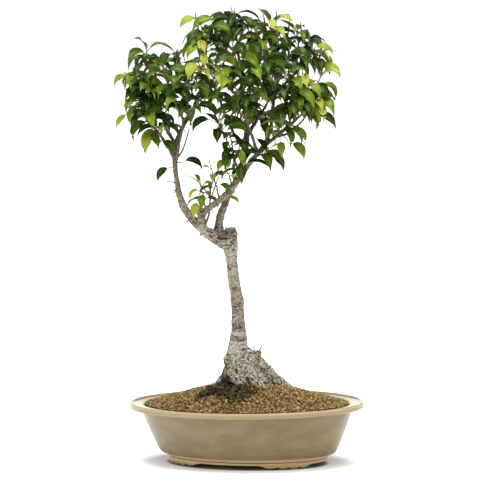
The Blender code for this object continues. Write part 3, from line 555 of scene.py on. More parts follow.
# hollows and lumps in the wood, in millimetres: (x, y, z), how wide, how deep (a lump is below zero)
SCARS = [
    ((-4, -9, 204), 3.2, -1.3),
    ((-1, -9, 200), 2.4, 1.4),
    ((-6, -9, 196), 2.6, 0.8),
    ((1, -8, 205), 2.0, 0.9),
    ((-13.2, -6, 242.8), 1.9, 2.6),
    ((-43.5, -15.5, 317), 3.4, 1.8),
    ((-24, -18, 106), 6.5, 5.5),
    ((-17, -21, 99), 5.0, 4.0),
    ((4, -17, 112), 3.0, 1.5),
    ((24, -15, 97), 5.0, 2.6),
    ((-8, -8, 212), 2.6, -0.8),
    ((-9, -8, 176), 3.2, -0.7),
    ((-7, -8, 168), 2.4, 0.8),
    ((19.5, -8, 142.5), 3.0, 2.2),
    ((-30, -8, 279), 3.0, -1.8),
    ((-35, -8, 283), 2.4, -1.5),
    ((-22, -9, 283), 4.0, 1.8),
    ((-16, -9, 288), 3.0, 1.4),
    ((-61, -11, 313), 2.6, 1.2),
    ((-64, -12, 321), 2.2, -1.0),
]


def course(knots, steps):
    """A Catmull-Rom curve through knots (x, y, z, radius), with this many steps between two."""
    knots = [Vector(k) * MM for k in knots]
    ends = [2 * knots[0] - knots[1], *knots, 2 * knots[-1] - knots[-2]]
    made = []
    for a, b, c, d in zip(ends, ends[1:], ends[2:], ends[3:]):
        for i in range(steps):
            t = i / steps
            square, cube = t * t * (2 * a - 5 * b + 4 * c - d), t**3 * (3 * b - a - 3 * c + d)
            made.append(0.5 * (2 * b + (c - a) * t + square + cube))
    return [*made, knots[-1]]


def sweep(bm, path, sides, lobes=None):
    """A round skin along a path of (x, y, z, radius). Returns its vertices."""
    last = len(path) - 1
    side = None
    rings = []
    for i, p in enumerate(path):
        tangent = (path[min(i + 1, last)].xyz - path[max(i - 1, 0)].xyz).normalized()
        side = side or tangent.orthogonal()
        side = (side - tangent * side.dot(tangent)).normalized()
        across = tangent.cross(side)
        ring = []
        for k in range(sides):
            turn = 2 * math.pi * k / sides
            radius = p.w * (lobes(turn, p.z) if lobes else 1.0)
            out = side * math.cos(turn) + across * math.sin(turn)
            ring.append(bm.verts.new(p.xyz + out * radius))
        rings.append(ring)
    skin(bm, rings)
    return [corner for ring in rings for corner in ring]


def flutes(turn, z):
    """The trunk's foot is ribbed where roots run into it; higher up it is nearly round."""
    depth = 0.10 * min(max((0.150 - z) / 0.05, 0), 1)
    return 1 + depth * math.cos(4 * turn + 0.6) + 0.02 * math.sin(3 * turn + z * 90)


def ease(low, high, value):
    """0 at low, 1 at high, and a smooth step between."""
    share = min(max((value - low) / (high - low), 0.0), 1.0)
    return share * share * (3 - 2 * share)


def weathered(p):
    """How far the bark stands out at a point, all in millimetres, and how deep in a crevice it is."""
    foot = ease(162, 118, p.z)
    swirl = Vector((noise.noise(p * 0.045), noise.noise(p * 0.045 + Vector((9, 4, 2))), 0)) * 6
    grooves = 1 - abs(noise.noise((p + swirl) * 0.16)) * 4.6
    drawn = Vector((p.x * 0.42, p.y * 0.42, p.z * 0.14)) + Vector((3, 8, 1))
    strands = 1 - abs(noise.noise(drawn)) * 3.0
    pits = noise.noise(p * 0.75)
    deep = foot * (max(grooves, 0) ** 2 * 1.4 + max(strands, 0) ** 2 * 1.4 + max(pits, 0) * 1.6)
    lumps = foot * (0.4 + noise.noise(p * 0.10 + Vector((1, 2, 3))) * 2.0)
    shaft = (1 - foot) * ease(330, 300, p.z)
    beat = p.z + 1.6 * noise.noise(Vector((p.x, p.y, p.z * 0.3)) * 0.12)
    collar = ease(134, 142, p.z) * ease(178, 160, p.z)
    rings = max(math.sin(beat * 1.9) + noise.noise(Vector((0, 0, beat * 0.35))) * 1.6 - 0.7, 0)
    rings *= 0.5 + noise.noise(Vector((p.x * 0.2, p.y * 0.2, beat * 0.5)))
    wrinkles = max(math.sin(beat * 1.15) - 0.72 + noise.noise(p * 0.15) * 0.5, 0) * 3.2 * collar
    flakes = max(noise.noise(Vector((p.x * 0.30, p.y * 0.30, p.z * 0.75))) - 0.22, 0)
    shaft_depth = shaft * (rings * 0.42 + flakes * 2.0) + wrinkles * 0.55
    wander = (1 - foot) * noise.noise(p * 0.11) * 0.7
    elbow = ease(30, 16, (p - Vector((-22, 0, 283))).length)
    rough = elbow * (noise.noise(p * 0.30) * 1.5 - max(0.25 - abs(noise.noise(p * 0.22)), 0) * 5)
    scar = 0.0
    for place, width, depth in SCARS:
        away = (p - Vector(place)).length
        if away < width * 1.6:
            scar += depth * ease(width * 1.6, width * 0.35, away)
    knobs = noise.noise(p * 0.4) * 0.35 + max(noise.noise(p * 0.17) - 0.25, 0) * 2.4
    upper = ease(290, 320, p.z) * knobs
    crevice = deep * 0.42 + shaft_depth * 1.1 + max(scar, 0) * 0.34 + max(-rough, 0) * 0.45
    return lumps - deep + wander + upper + rough - shaft_depth - scar, crevice


def bark():
    """Pale grey-brown fig bark, with painted shade near black in the crevices and in the hollow on the
    left of the foot, where dark green moss grows too.
    """
    finish = Finish("fig_bark", specular_ior_level=0.15)
    # x and z, and the bands that they are tested against, are in metres
    z = finish.axis("Z")
    x = finish.axis("X")
    crevice = finish.attribute("crevice")
    patch = finish.noise(70.0, 4.0, place=finish.stretched(1, 1, 0.6))
    fleck = finish.noise(400.0, 4.0, 0.72)
    band = finish.noise(230.0, 3.0, place=finish.stretched(0.16, 0.16, 1))
    foot = z.rise(0.162, 0.125)
    twig = z.rise(0.330, 0.410)
    cells = finish.stretched(1, 1, 0.55)
    flake = finish.node(
        "ShaderNodeTexVoronoi", {"feature": "DISTANCE_TO_EDGE"}, {"Vector": cells, "Scale": 330.0}
    )
    tone = finish.mix(patch.rise(0.34, 0.66), (0.132, 0.109, 0.066), (0.247, 0.224, 0.178))
    pale_neck = z.rise(0.215, 0.245) * z.rise(0.292, 0.275)
    pale_foot = z.rise(0.132, 0.142) * z.rise(0.172, 0.158)
    tone = finish.mix(pale_neck * 0.5 + pale_foot * 0.7, tone, (0.310, 0.290, 0.254))
    tone = finish.mix(z.rise(0.150, 0.132) * 0.6, tone, (0.277, 0.238, 0.191))
    tone = finish.mix(z.rise(0.285, 0.315) * 0.75, tone, (0.125, 0.106, 0.069))
    ring_scar = z.rise(0.190, 0.197) * z.rise(0.211, 0.204)
    ring_scar = ring_scar + z.rise(0.163, 0.169) * z.rise(0.180, 0.174)
    middle = x.rise(-0.0125, -0.008) * x.rise(0.0035, -0.001)
    tone = finish.mix(ring_scar * middle * patch.rise(0.30, 0.50) * 0.75, tone, (0.099, 0.073, 0.033))
    burl = x.rise(-0.0155, -0.0185) * z.rise(0.109, 0.115) * z.rise(0.143, 0.136)
    root_stub = x.rise(0.0135, 0.016) * z.rise(0.124, 0.130) * z.rise(0.155, 0.150)
    tone = finish.mix((burl + root_stub) * 0.85, tone, (0.152, 0.109, 0.046))
    rings = band.rise(0.54, 0.61) * 0.90 * (1 - twig) * (1 - foot)
    tone = finish.mix(rings, tone, (0.079, 0.057, 0.030))
    pale_fleck = fleck.rise(0.49, 0.57) * (0.34 + 0.52 * foot) * (1 - twig)
    tone = finish.mix(pale_fleck, tone, (0.502, 0.449, 0.389))
    tone = finish.mix(fleck.rise(0.455, 0.40) * (0.50 + 0.35 * foot), tone, (0.050, 0.033, 0.018))
    tone = finish.mix(flake.rise(0.08, 0.02) * foot * 0.40, tone, (0.040, 0.028, 0.017))
    tone = finish.mix(twig * 0.80, tone, (0.073, 0.051, 0.030))
    # painted shade: the hollow on the left of the foot is coloured near black for its shade, with real
    # dark green moss in it
    shaded = x.rise(-0.010, -0.026) * z.rise(0.140, 0.112) * patch.rise(0.36, 0.52)
    moss = finish.mix(fleck.rise(0.44, 0.56), (0.011, 0.009, 0.004), (0.046, 0.056, 0.016))
    tone = finish.mix(shaded * 0.90, tone, moss)
    # painted shade: near black as deep as the weathering cut the crevices
    tone = finish.mix(crevice.rise(0.26, 0.90) * 0.93, tone, (0.012, 0.009, 0.005))
    grain_bump = finish.bump(band, 0.0006, 0.45)
    return finish.cover(
        base_color=tone,
        roughness=0.72 + 0.16 * patch,
        normal=finish.bump(fleck, 0.0007, 0.55, under=grain_bump),
    )


def grow_wood():
    """Fuses the curves into one skin, and then weathers it."""
    bm = bmesh.new()
    sweep(bm, course(TRUNK, 6), 40, flutes)
    for knots in (*LIMBS.values(), *ROOTS.values()):
        sweep(bm, course(knots, 6), 24 if max(k[3] for k in knots) > 3.4 else 14)
    made = piece("tree_wood", bm, bark())
    fuse = made.modifiers.new("Fuse", "REMESH")
    fuse.mode = "VOXEL"
    fuse.voxel_size = WOOD_CELL
    soften = made.modifiers.new("Soften", "SMOOTH")
    soften.iterations = 3
    apply_modifiers(made)
    mesh = made.data
    mesh.attributes.new("crevice", "FLOAT", "POINT")
    moved = []
    depths = []
    for corner in mesh.vertices:
        p = corner.co
        stand, crevice = weathered(p / MM)
        lift = Vector()
        if p.z > STUB_TOP and math.hypot(p.x + 0.010, p.y) < 0.011:
            spike = noise.noise(Vector((p.x, p.y, 0)) * 420) * 5.5 * MM
            lift.z = spike * ease(STUB_TOP, STUB_TOP + 5 * MM, p.z)
        moved.append(p + corner.normal * stand * MM + lift)
        depths.append(crevice)
    mesh.vertices.foreach_set("co", [c for p in moved for c in p])
    mesh.attributes["crevice"].data.foreach_set("value", depths)
    mesh.shade_smooth()
    mesh.update()
    return made


wood = grow_wood()
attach(wood, "root")
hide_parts("trunk_and_limbs")

# ==== Surface roots ===========================================================================
# Old roots half out of the soil at the left front of the foot: damp, dark, mossy and knobbly, with
# the soil washed up against them.

# curves like the wood's, from under the foot out to the left, the front and the right
SURFACE_ROOTS = [
    [
        (-20, -18, 99, 5), (-28, -20, 97.4, 5.6), (-38, -23, 94.4, 5.8), (-48, -26, 90.6, 5.4),
        (-58, -29, 85.4, 3.6),
    ],
    [(-18, -24, 96, 4.6), (-24, -32, 92, 4.2), (-29, -38, 88.5, 3.6), (-35, -44, 83.5, 2.4)],
    [
        (-8, -26, 96, 5), (-12, -35, 93, 5), (-16, -43, 89.4, 4.8), (-14, -51, 85.8, 4.2),
        (-8, -58, 81, 2.8),
    ],
    [
        (-2, -26, 96, 5.4), (2, -36, 94, 5.4), (1, -46, 90.6, 5), (-5, -54, 86.4, 4.2),
        (-6, -62, 80, 2.8),
    ],
    [(8, -24, 95, 4.2), (14, -30, 93, 3.8), (18, -38, 89.6, 3.2), (15, -46, 85, 2.2)],
    [(28, -22, 93, 3.4), (36, -30, 88, 2.8), (40, -38, 82, 2)],
]


def damp_root():
    """Wet bark with dark moss in patches and a little dusty clay on top."""
    finish = Finish("damp_root", specular_ior_level=0.12)
    patch = finish.noise(180.0, 4.0)
    fleck = finish.noise(520.0, 3.0, 0.65)
    tone = finish.mix(patch.rise(0.42, 0.62), (0.006, 0.005, 0.003), (0.040, 0.032, 0.013))
    tone = finish.mix(fleck.rise(0.56, 0.64) * 0.7, tone, (0.190, 0.140, 0.055))
    tone = finish.mix(patch.rise(0.58, 0.70) * 0.6, tone, (0.045, 0.055, 0.012))
    return finish.cover(
        base_color=tone, roughness=0.70 + 0.2 * fleck, normal=finish.bump(fleck, 0.0009, 0.7)
    )


bm = bmesh.new()
for knots in SURFACE_ROOTS:
    sweep(bm, course(knots, 14), 24)
for corner in bm.verts:
    corner.co += Vector((1, 0.6, 0.9)) * noise.noise(corner.co * 150) * 5.0 * MM
    corner.co += Vector((-0.5, 0.7, 1)) * noise.noise(corner.co * 340) * 3.6 * MM
surface_roots = piece("surface_roots", bm, damp_root())
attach(surface_roots, "root")

# ==== Twigs ===================================================================================
# Thin bare growth from the last two seasons: side twigs that carry no shoot of their own, dead snags
# on the left limb, a sprout on the root stub, and leafless tips standing out of the crown.

TWIGS = [
    [(-72.8, -9, 381.8, 1.3), (-63.8, -10, 395, 1.0), (-55.3, -10, 419.5, 0.7)],
    [(-3, 9, 346.9, 1.3), (-2.1, 6, 371.7, 1.1), (-3.7, 4, 396.6, 0.9), (-6.6, 3, 412, 0.7)],
    [(-40.5, -10, 300, 1.5), (-35.4, -12, 312, 1.3), (-33.7, -13, 326, 1.1), (-31.9, -14, 346, 0.8)],
    [(-35, -12, 338, 0.9), (-43, -14, 348, 0.8), (-52, -15, 357.5, 0.6), (-64.3, -16, 363.5, 0.4)],
    [(-32.9, -13, 330, 0.9), (-27.5, -12, 344, 0.8), (-22, -11, 357, 0.6), (-17.1, -10, 368, 0.5)],
    [(-73.5, -9, 350.5, 0.9), (-79.5, -11, 354.5, 0.6), (-86.5, -12, 355.0, 0.35)],
    [(-71.5, -9, 345.5, 0.9), (-76.5, -12, 343.5, 0.6), (-79.0, -13, 339.0, 0.4)],
    [(20.0, -7, 138, 0.9), (23.5, -7, 145, 0.7), (24.5, -8, 149, 0.4)],
    [(16.5, -6, 136, 0.8), (14.0, -7, 144, 0.6), (14.6, -8, 148, 0.35)],
    [(-58.5, -9, 310, 1.0), (-62.0, -12, 305, 0.8), (-64.5, -13, 304, 0.7)],
    [(-43.5, -3, 291, 1.4), (-46.5, -5, 287, 1.1), (-48.0, -6, 286, 0.9)],
    [(-20.0, -9, 283, 1.2), (-18.0, -10, 291, 0.9), (-20.5, -11, 297, 0.6)],
]
# leafless tips: (x, y, z) of the point, then how far below it and to its side the foot is
SNAGS = [(57, -4, 560, 30, -3), (-43, 2, 561, 34, 6), (2, -2, 566, 28, 2), (73, 4, 550, 30, -5)]
SNAGS += [(-92, -10, 509, 30, -4), (41, 6, 557, 28, 4), (-66, -6, 517, 30, 4), (-7, -4, 562, 28, -4)]
SNAGS += [(112, -2, 520, 28, -6), (86, -6, 545, 26, 2)]


def young_wood():
    """Last year's twigs: smooth dark brown skin with pale specks."""
    finish = Finish("twig_skin", specular_ior_level=0.2)
    speck = finish.noise(700.0, 2.0)
    patch = finish.noise(120.0, 2.0)
    tone = finish.mix(patch, (0.041, 0.026, 0.013), (0.112, 0.079, 0.045))
    tone = finish.mix(speck.rise(0.60, 0.75) * 0.5, tone, (0.255, 0.203, 0.143))
    return finish.cover(
        base_color=tone, roughness=0.55 + 0.2 * patch, normal=finish.bump(speck, 0.0003, 0.5)
    )


twig_skin = young_wood()
bm = bmesh.new()
for knots in TWIGS:
    sweep(bm, course(knots, 6), 8)
for x, y, z, drop, lean in SNAGS:
    foot = (x + lean, y, z - drop, 1.1)
    sweep(bm, course([foot, (x + lean * 0.3, y, z - drop * 0.4, 1.0), (x, y, z, 0.45)], 5), 7)
twigs = piece("bare_twigs", bm, twig_skin)
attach(twigs, "root")

# ==== Shoots ==================================================================================
# Each leafy shoot is a thin twig that grew from a limb, with folded, glossy, drip-tipped leaves set
# round it in a spiral on short stalks, and a pair of pale pointed buds at its end.

# where each shoot ends, in millimetres in the frame
SHOOT_TIPS = {
    "top": [
        (5.5, 4, 563.5), (-37, -8, 548), (-4, -6, 551), (18.5, 14, 541.5), (49, -8, 543),
        (80.5, -2, 535), (97.5, 12, 523.5),
    ],
    "right": [
        (109, -4, 504), (110.5, -14, 480), (90, -26, 465.5), (106.5, 6, 449), (104.5, -22, 445),
        (78, -38, 444), (69, -26, 416), (41, -26, 385.5),
    ],
    "front": [
        (9.5, -34, 372.5), (-19, -18, 425.5), (-32.5, -42, 456), (-36.5, -36, 493), (-9.5, -52, 485),
        (-31, -24, 523), (1, -34, 524), (31.5, -24, 531), (46, -42, 507), (70.5, -32, 512),
        (64.5, -50, 481.5), (25.5, -62, 462), (-2, -54, 443),
    ],
    "left": [
        (-104, -10, 519.5), (-115.5, -24, 496), (-69, -4, 511.5), (-85.5, -30, 499), (-101, -40, 477.5),
        (-123.5, -14, 467.5), (-130, -8, 447.5), (-112, -34, 439.5), (-96, -32, 422),
    ],
    "fork": [(-45, -16, 349.5), (-31.5, -20, 374.5), (-12.5, -4, 370)],
    "rear": [
        (-102.5, 34, 489.5), (-78, 46, 445.5), (-34, 48, 506), (-23.5, 68, 463.5), (17, 54, 516.5),
        (20.5, 76, 457), (66, 52, 502.5), (78.5, 56, 459), (45, 56, 421),
    ],
}
LEAF_GAP = 3.3 * MM
# shoots with few leaves, most of them in the open fork: how many, and the share of their full size
SPARSE = {"shoot_fork_1": (6, 0.72), "shoot_fork_2": (7, 0.68), "shoot_fork_3": (5, 0.72)}
SPARSE |= {"shoot_front_1": (6, 0.95), "shoot_right_8": (7, 1.0)}
LEAF_LENGTH = (27 * MM, 39 * MM)
STALK = 5 * MM
# tries at a leaf's place, the room round it that ends them, and the least that a leaf is given
TRIES = 10
ROOM_WANTED = 6 * MM
ROOM_NEEDED = 1 * MM
# no leaf above or left of these, and no bud's foot above the last
LEAF_TOP = 564.5 * MM
LEAF_LEFT = -136 * MM
BUD_TOP = 559 * MM
# half the blade's width along it, as a share of its widest half
BLADE = [(0.0, 0.07), (0.07, 0.42), (0.16, 0.74), (0.27, 0.94), (0.38, 1.0), (0.50, 0.93), (0.61, 0.76)]
BLADE += [(0.71, 0.53), (0.80, 0.31), (0.88, 0.19), (0.95, 0.11), (1.0, 0.03)]
STALK_AND_BLADE = [(-0.18, 0), (-0.10, 0), *BLADE]
# which point of a leaf's line is the blade's middle
MIDRIB_MIDDLE = 6
# where this season's yellow-green leaves are: x, z and how far round, in millimetres
FRESH = [(-110, 407, 9), (-49, 320, 8), (-38, 519, 8), (-32, 539, 9), (-42, 490, 12), (-15, 483, 12)]
FRESH += [(0, 479, 9), (-50, 549, 10), (116, 507, 11), (122, 478, 12), (90, 476, 9), (33, 453, 7)]
FRESH += [(44, 420, 9), (56, 390, 10), (64, 378, 8), (-100, 472, 10), (57, 540, 11), (-78, 455, 8)]
FRESH += [(-7, 372, 8), (-3, 318, 9), (-128, 480, 9), (-118, 508, 8), (104, 440, 12), (5, 565, 9)]
# the gap between the limbs: x and z of its middle, half its width and half its height
OPEN_FORK = (-38, 376, 25, 33)
# single leaves that stand out: foot (x, y, z), the way it points in degrees (-90 is straight out to
# the front), its rise and droop in degrees, length, half-width as a share of length, and youth
LONE_LEAVES = [
    ((-129, -12, 440), 186, -14, 72, 25, 0.20, 0.74),
    ((-106, -26, 416), -100, -28, 55, 30, 0.25, 0.76),
    ((-104, -16, 412), -60, 5, 90, 28, 0.22, 0.46),
    ((-92, -20, 404), -30, 10, 95, 28, 0.22, 0.34),
    ((-48, -18, 331), -115, -32, 60, 26, 0.24, 0.76),
    ((-41, -14, 340), -100, -20, 70, 27, 0.21, 0.42),
    ((-40, -14, 553), 190, 18, 95, 27, 0.24, 0.78),
    ((-28, -20, 541), -20, 28, 100, 36, 0.22, 0.30),
    ((-16, -20, 552), 195, 12, 80, 38, 0.22, 0.40),
    ((-30, -16, 536), 200, 10, 95, 34, 0.24, 0.14),
    ((106, -10, 487), -8, 26, 110, 33, 0.23, 0.74),
    ((101, -8, 512), -6, 30, 110, 30, 0.20, 0.72),
    ((56, -22, 402), -88, -30, 45, 29, 0.21, 0.66),
    ((66, -18, 397), -30, 0, 100, 32, 0.22, 0.46),
    ((-13, -6, 331), 8, 24, 120, 20, 0.20, 0.74),
    ((-42, -36, 502), -125, -20, 60, 32, 0.26, 0.72),
    ((-20, -44, 493), -70, -24, 70, 27, 0.24, 0.84),
    ((-16, -44, 500), 10, 24, 120, 36, 0.22, 0.70),
    ((85, -34, 484), -70, -26, 60, 23, 0.27, 0.90),
    ((92, -30, 470), -40, -10, 80, 28, 0.22, 0.66),
    ((98, -24, 460), -110, -20, 60, 30, 0.22, 0.60),
    ((104, -16, 452), -20, 0, 90, 28, 0.20, 0.64),
    ((48, -18, 550), -70, -16, 60, 20, 0.28, 0.90),
    ((56, -14, 553), -10, 10, 70, 22, 0.20, 0.74),
    ((-42, -30, 528), -60, -10, 70, 25, 0.24, 0.80),
    ((-34, -30, 520), 200, 10, 100, 30, 0.22, 0.66),
    ((-36, -34, 512), -80, -10, 90, 26, 0.22, 0.72),
    ((22, -48, 497), -60, -18, 50, 32, 0.23, 0.50),
    ((-112, -38, 479), 10, 18, 75, 32, 0.25, 0.66),
    ((-96, -44, 466), 15, 22, 100, 34, 0.23, 0.56),
    ((-126, -16, 486), 185, 20, 110, 26, 0.20, 0.66),
    ((-116, -20, 508), 10, 30, 125, 26, 0.22, 0.34),
    ((6, -24, 377), -88, -34, 42, 33, 0.26, 0.08),
    ((-10, -18, 379), -140, 0, 90, 22, 0.24, 0.64),
    ((-19, -24, 421), -100, -25, 62, 25, 0.27, 0.03),
    ((-26, -22, 428), 200, 26, 115, 34, 0.20, 0.08),
    ((38, -30, 474), -70, -5, 70, 30, 0.23, 0.10),
    ((20, -30, 520), -60, 4, 60, 38, 0.22, 0.04),
    ((56, -44, 442), -88, -25, 45, 38, 0.23, 0.02),
    ((70, -40, 452), -80, -20, 50, 34, 0.22, 0.06),
    ((98, -18, 432), -25, 5, 85, 38, 0.18, 0.06),
    ((-80, -12, 372), 195, 0, 100, 27, 0.22, 0.12),
    ((-66, -14, 378), 8, 30, 120, 32, 0.20, 0.10),
    ((34, -26, 388), -20, 5, 90, 34, 0.21, 0.10),
    ((44, -24, 384), -40, -10, 80, 30, 0.20, 0.16),
]
# the lengths above are drawn this much shorter
LONE_SIZE = 0.86


def leaf_finish():
    """Waxy leaf: dark to yellow-green by its age, a paler midrib and veins, a dull pale underside."""
    finish = Finish("fig_leaf", ior=1.45, specular_ior_level=0.24, specular_tint=(0.86, 1.0, 0.34))
    age = finish.attribute("youth")
    shade = finish.attribute("shade")
    under = finish.attribute("under")
    across = finish.attribute("across")
    along = finish.attribute("along")
    blotch = finish.noise(160.0, 3.0)
    stops = [(0.0, (0.006, 0.017, 0.003)), (0.22, (0.018, 0.048, 0.005))]
    stops += [(0.42, (0.050, 0.102, 0.007)), (0.62, (0.135, 0.180, 0.012))]
    stops += [(0.82, (0.270, 0.280, 0.035)), (1.0, (0.420, 0.395, 0.095))]
    mixed = age + (shade - 0.5) * 0.16 + (blotch - 0.5) * 0.22
    tone = finish.node("ShaderNodeValToRGB", {"stops": stops}, {"Fac": mixed})
    wide = across.through("ABSOLUTE")
    slant = (along * 19.0 - wide * 2.2) * (2 * math.pi)
    wave = slant.through("SINE")
    vein = wave.rise(0.72, 1.0) * wide.rise(1.0, 0.85) * wide.rise(0.04, 0.12)
    rib = wide.rise(0.13, 0.03)
    tone = finish.mix(vein * 0.22, tone, (0.151, 0.218, 0.025))
    tone = finish.mix(rib * 0.28, tone, (0.210, 0.277, 0.038))
    tone = finish.mix(under * 0.40, tone, (0.105, 0.151, 0.025))
    tone = finish.mix(along.rise(-0.02, -0.12), tone, (0.122, 0.109, 0.025))
    tip = along.rise(0.90, 1.0) * shade.rise(0.55, 0.85)
    tone = finish.mix(tip * 0.6, tone, (0.143, 0.076, 0.025))
    pucker = finish.bump(finish.noise(240.0, 2.0), 0.0012, 0.35)
    rise = finish.bump(wave * -0.5 - rib, 0.00018, 0.35, under=pucker)
    return finish.cover(
        base_color=tone,
        roughness=0.20 + 0.14 * blotch + 0.34 * under,
        normal=rise,
    )


def limb_spots():
    """Points along every limb that can carry a shoot."""
    found = []
    for name, knots in LIMBS.items():
        if name != "neck":
            found += [p.xyz for p in course(knots, 5)[5:]]
    return found


def stem_course(tip):
    """A twig's bowed line from the limb that bears it most naturally up to its tip."""

    def strain(spot):
        reach = tip - spot
        return reach.length * (1.5 - reach.z / reach.length)

    start = min([spot for spot in limbs if (tip - spot).length > 24 * MM], key=strain)
    reach = tip - start
    return start, start + reach * 0.5 + Vector((0, 0, 0.10 * reach.length)), tip


def bow(path, t):
    """The point a share of the way along a bowed line (foot, the point it bends towards, tip)."""
    base, control, tip = path
    return base * (1 - t) ** 2 + control * (2 * t * (1 - t)) + tip * t * t


def pitched(heading, pitch):
    """A level heading raised by an angle."""
    return heading * math.cos(pitch) + Vector((0, 0, math.sin(pitch)))


def leaf_line(spot, heading, rise, curl, stalk, length):
    """Points and directions down a leaf's midrib, from its stalk's foot to its drip tip."""
    stops = [0.0, stalk * 0.5, stalk] + [stalk + length * s for s, _ in BLADE[1:]]
    total = stalk + length
    found = []
    p = spot
    before = 0.0
    for s in stops:
        p = p + pitched(heading, rise - curl * ((s + before) / 2 / total) ** 1.15) * (s - before)
        found.append((p, pitched(heading, rise - curl * (s / total) ** 1.15)))
        before = s
    return found


def add_leaf(bm, layers, leaf):
    """One leaf with its stalk: a thin closed blade folded along its midrib."""
    spot, heading, rise, curl, size, roll, youth, shade, fold, twist, broad = leaf
    line = leaf_line(spot, heading, rise, curl, STALK * (0.8 + 0.5 * shade), size)
    rings = []
    for (p, down), (s, share) in zip(line, STALK_AND_BLADE):
        on_stalk = s <= 0
        turn = roll + twist * max(s, 0)
        side = Matrix.Rotation(turn, 3, down) @ down.cross(Vector((0, 0, 1))).normalized()
        up = side.cross(down)
        half = max(size * broad * share, (0.42 if on_stalk else 0.12) * MM)
        thick = (0.42 if on_stalk else 0.16) * MM
        wave = 0.45 * MM * math.sin(s * 13 + shade * 20) * share
        columns = []
        for across in (-1.0, -0.5, 0.0, 0.5, 1.0):
            height = half * fold * abs(across) ** 1.3 + (wave * across if abs(across) == 1 else 0)
            columns.append((across, p + side * half * across + up * height))
        ring = [(across, q + up * (0 if abs(across) == 1 else thick), 0.0) for across, q in columns]
        ring += [(across, q - up * thick, 1.0) for across, q in columns[3:0:-1]]
        made = []
        for across, q, under in ring:
            corner = bm.verts.new(q)
            for layer, value in zip(layers, (across, s, youth, shade, under)):
                corner[layer] = value
            made.append(corner)
        rings.append(made)
    skin(bm, rings)


def in_open_fork(p):
    x, z, wide, high = OPEN_FORK
    return ((p.x / MM - x) / wide) ** 2 + ((p.z / MM - z) / high) ** 2 < 1


def freshness(p, dice, share):
    """How young a leaf at this place is, from 0 for last year's dark green to 1 for yellow-green."""
    near = max(1.25 - math.hypot(p.x / MM - x, p.z / MM - z) / r for x, z, r in FRESH)
    base = dice.choice((0.0, 0.03, 0.08, 0.13, 0.20, 0.28, 0.40, 0.56))
    if share < 0.8:
        base += 0.30
    front = ease(25, -10, p.y / MM)
    return max(base, min(near * 1.2, dice.uniform(0.66, 1.0)) * (0.35 + 0.65 * front))


def turned_out(spot, heading):
    """The roll that shows a leaf's upper face to the light outside the crown, front or rear."""
    outward = min(max(-spot.y / (22 * MM), -1.0), 1.0)
    return math.radians(30) * heading.x * outward


def room_for(name, line, settled):
    """How clear of the other leaves a leaf lies; below zero where none of this shoot's may be."""
    middle, end = line[MIDRIB_MIDDLE][0], line[-1][0]
    room = min([(middle - other).length for other in settled] or [1])
    if "fork" not in name and (in_open_fork(middle) or in_open_fork(end)):
        room -= 1
    if max(p.z for p, _ in line) > LEAF_TOP or min(p.x for p, _ in line) < LEAF_LEFT:
        room -= 1
    return room


def shoot_leaves(index, name, path, settled):
    """Chooses each leaf's place on the twig, turned to lie clear of those already there."""
    length = (path[2] - path[0]).length
    count, share = SPARSE.get(name, (min(max(round(length * 0.82 / LEAF_GAP), 11), 22), 1.0))
    leaves = []
    for i in range(count):
        spot = bow(path, 0.18 + 0.80 * (i + 0.5) / count)
        best = None
        for attempt in range(TRIES):
            dice = random.Random(index * 1000 + i * 20 + attempt)
            azimuth = 2.4 * (i + 3 * index) + attempt * 1.1 + dice.uniform(-0.3, 0.3)
            heading = Vector((math.cos(azimuth), math.sin(azimuth), 0))
            rise, curl = math.radians(dice.uniform(10, 60)), math.radians(dice.uniform(95, 155))
            size = dice.uniform(*LEAF_LENGTH) * share
            # the last two leaves of a shoot are small and upright
            if i >= count - 2:
                rise, curl = math.radians(dice.uniform(35, 80)), math.radians(dice.uniform(30, 95))
                size *= 0.72
            line = leaf_line(spot, heading, rise, curl, STALK, size)
            middle = line[MIDRIB_MIDDLE][0]
            room = room_for(name, line, settled)
            if best is None or room > best[0]:
                roll = math.radians(dice.uniform(-26, 26)) + turned_out(middle, heading)
                shade = dice.random()
                youth = freshness(middle, dice, share)
                form = (dice.uniform(0.20, 0.70), dice.uniform(-0.5, 0.5), dice.uniform(0.155, 0.205))
                best = (room, middle, (spot, heading, rise, curl, size, roll, youth, shade, *form))
            if room > ROOM_WANTED:
                break
        room, middle, leaf = best
        if room > ROOM_NEEDED:
            settled.append(middle)
            leaves.append(leaf)
    return leaves


def lone_leaf(number, paths):
    """A leaf that stands out, and the side twig to it: (its shoot, twig line, leaf)."""
    foot, way, rise, droop, size, broad, youth = LONE_LEAVES[number]
    foot = Vector(foot) * MM
    spots = [(bow(path, 0.25 + 0.07 * k), name) for name, path in paths.items() for k in range(11)]
    start, owner = min(spots, key=lambda spot: (spot[0] - foot).length)
    limb = min(limbs, key=lambda spot: (spot - foot).length)
    if (limb - foot).length < (start - foot).length + 4 * MM:
        start = limb
    heading = Vector((math.cos(math.radians(way)), math.sin(math.radians(way)), 0))
    middle = (start + foot) / 2 + Vector((0, 0, 0.12 * (foot - start).length))
    line = [Vector((*bow((start, middle, foot), k / 5), (0.85 - 0.06 * k) * MM)) for k in range(6)]
    shade = (number * 0.37) % 1
    roll = math.radians(48) * heading.x
    size *= LONE_SIZE * MM
    form = (size, roll, youth, shade, 0.16 + 0.2 * shade, 0.3 * (shade - 0.5), broad)
    return owner, line, (foot, heading, math.radians(rise), math.radians(droop), *form)


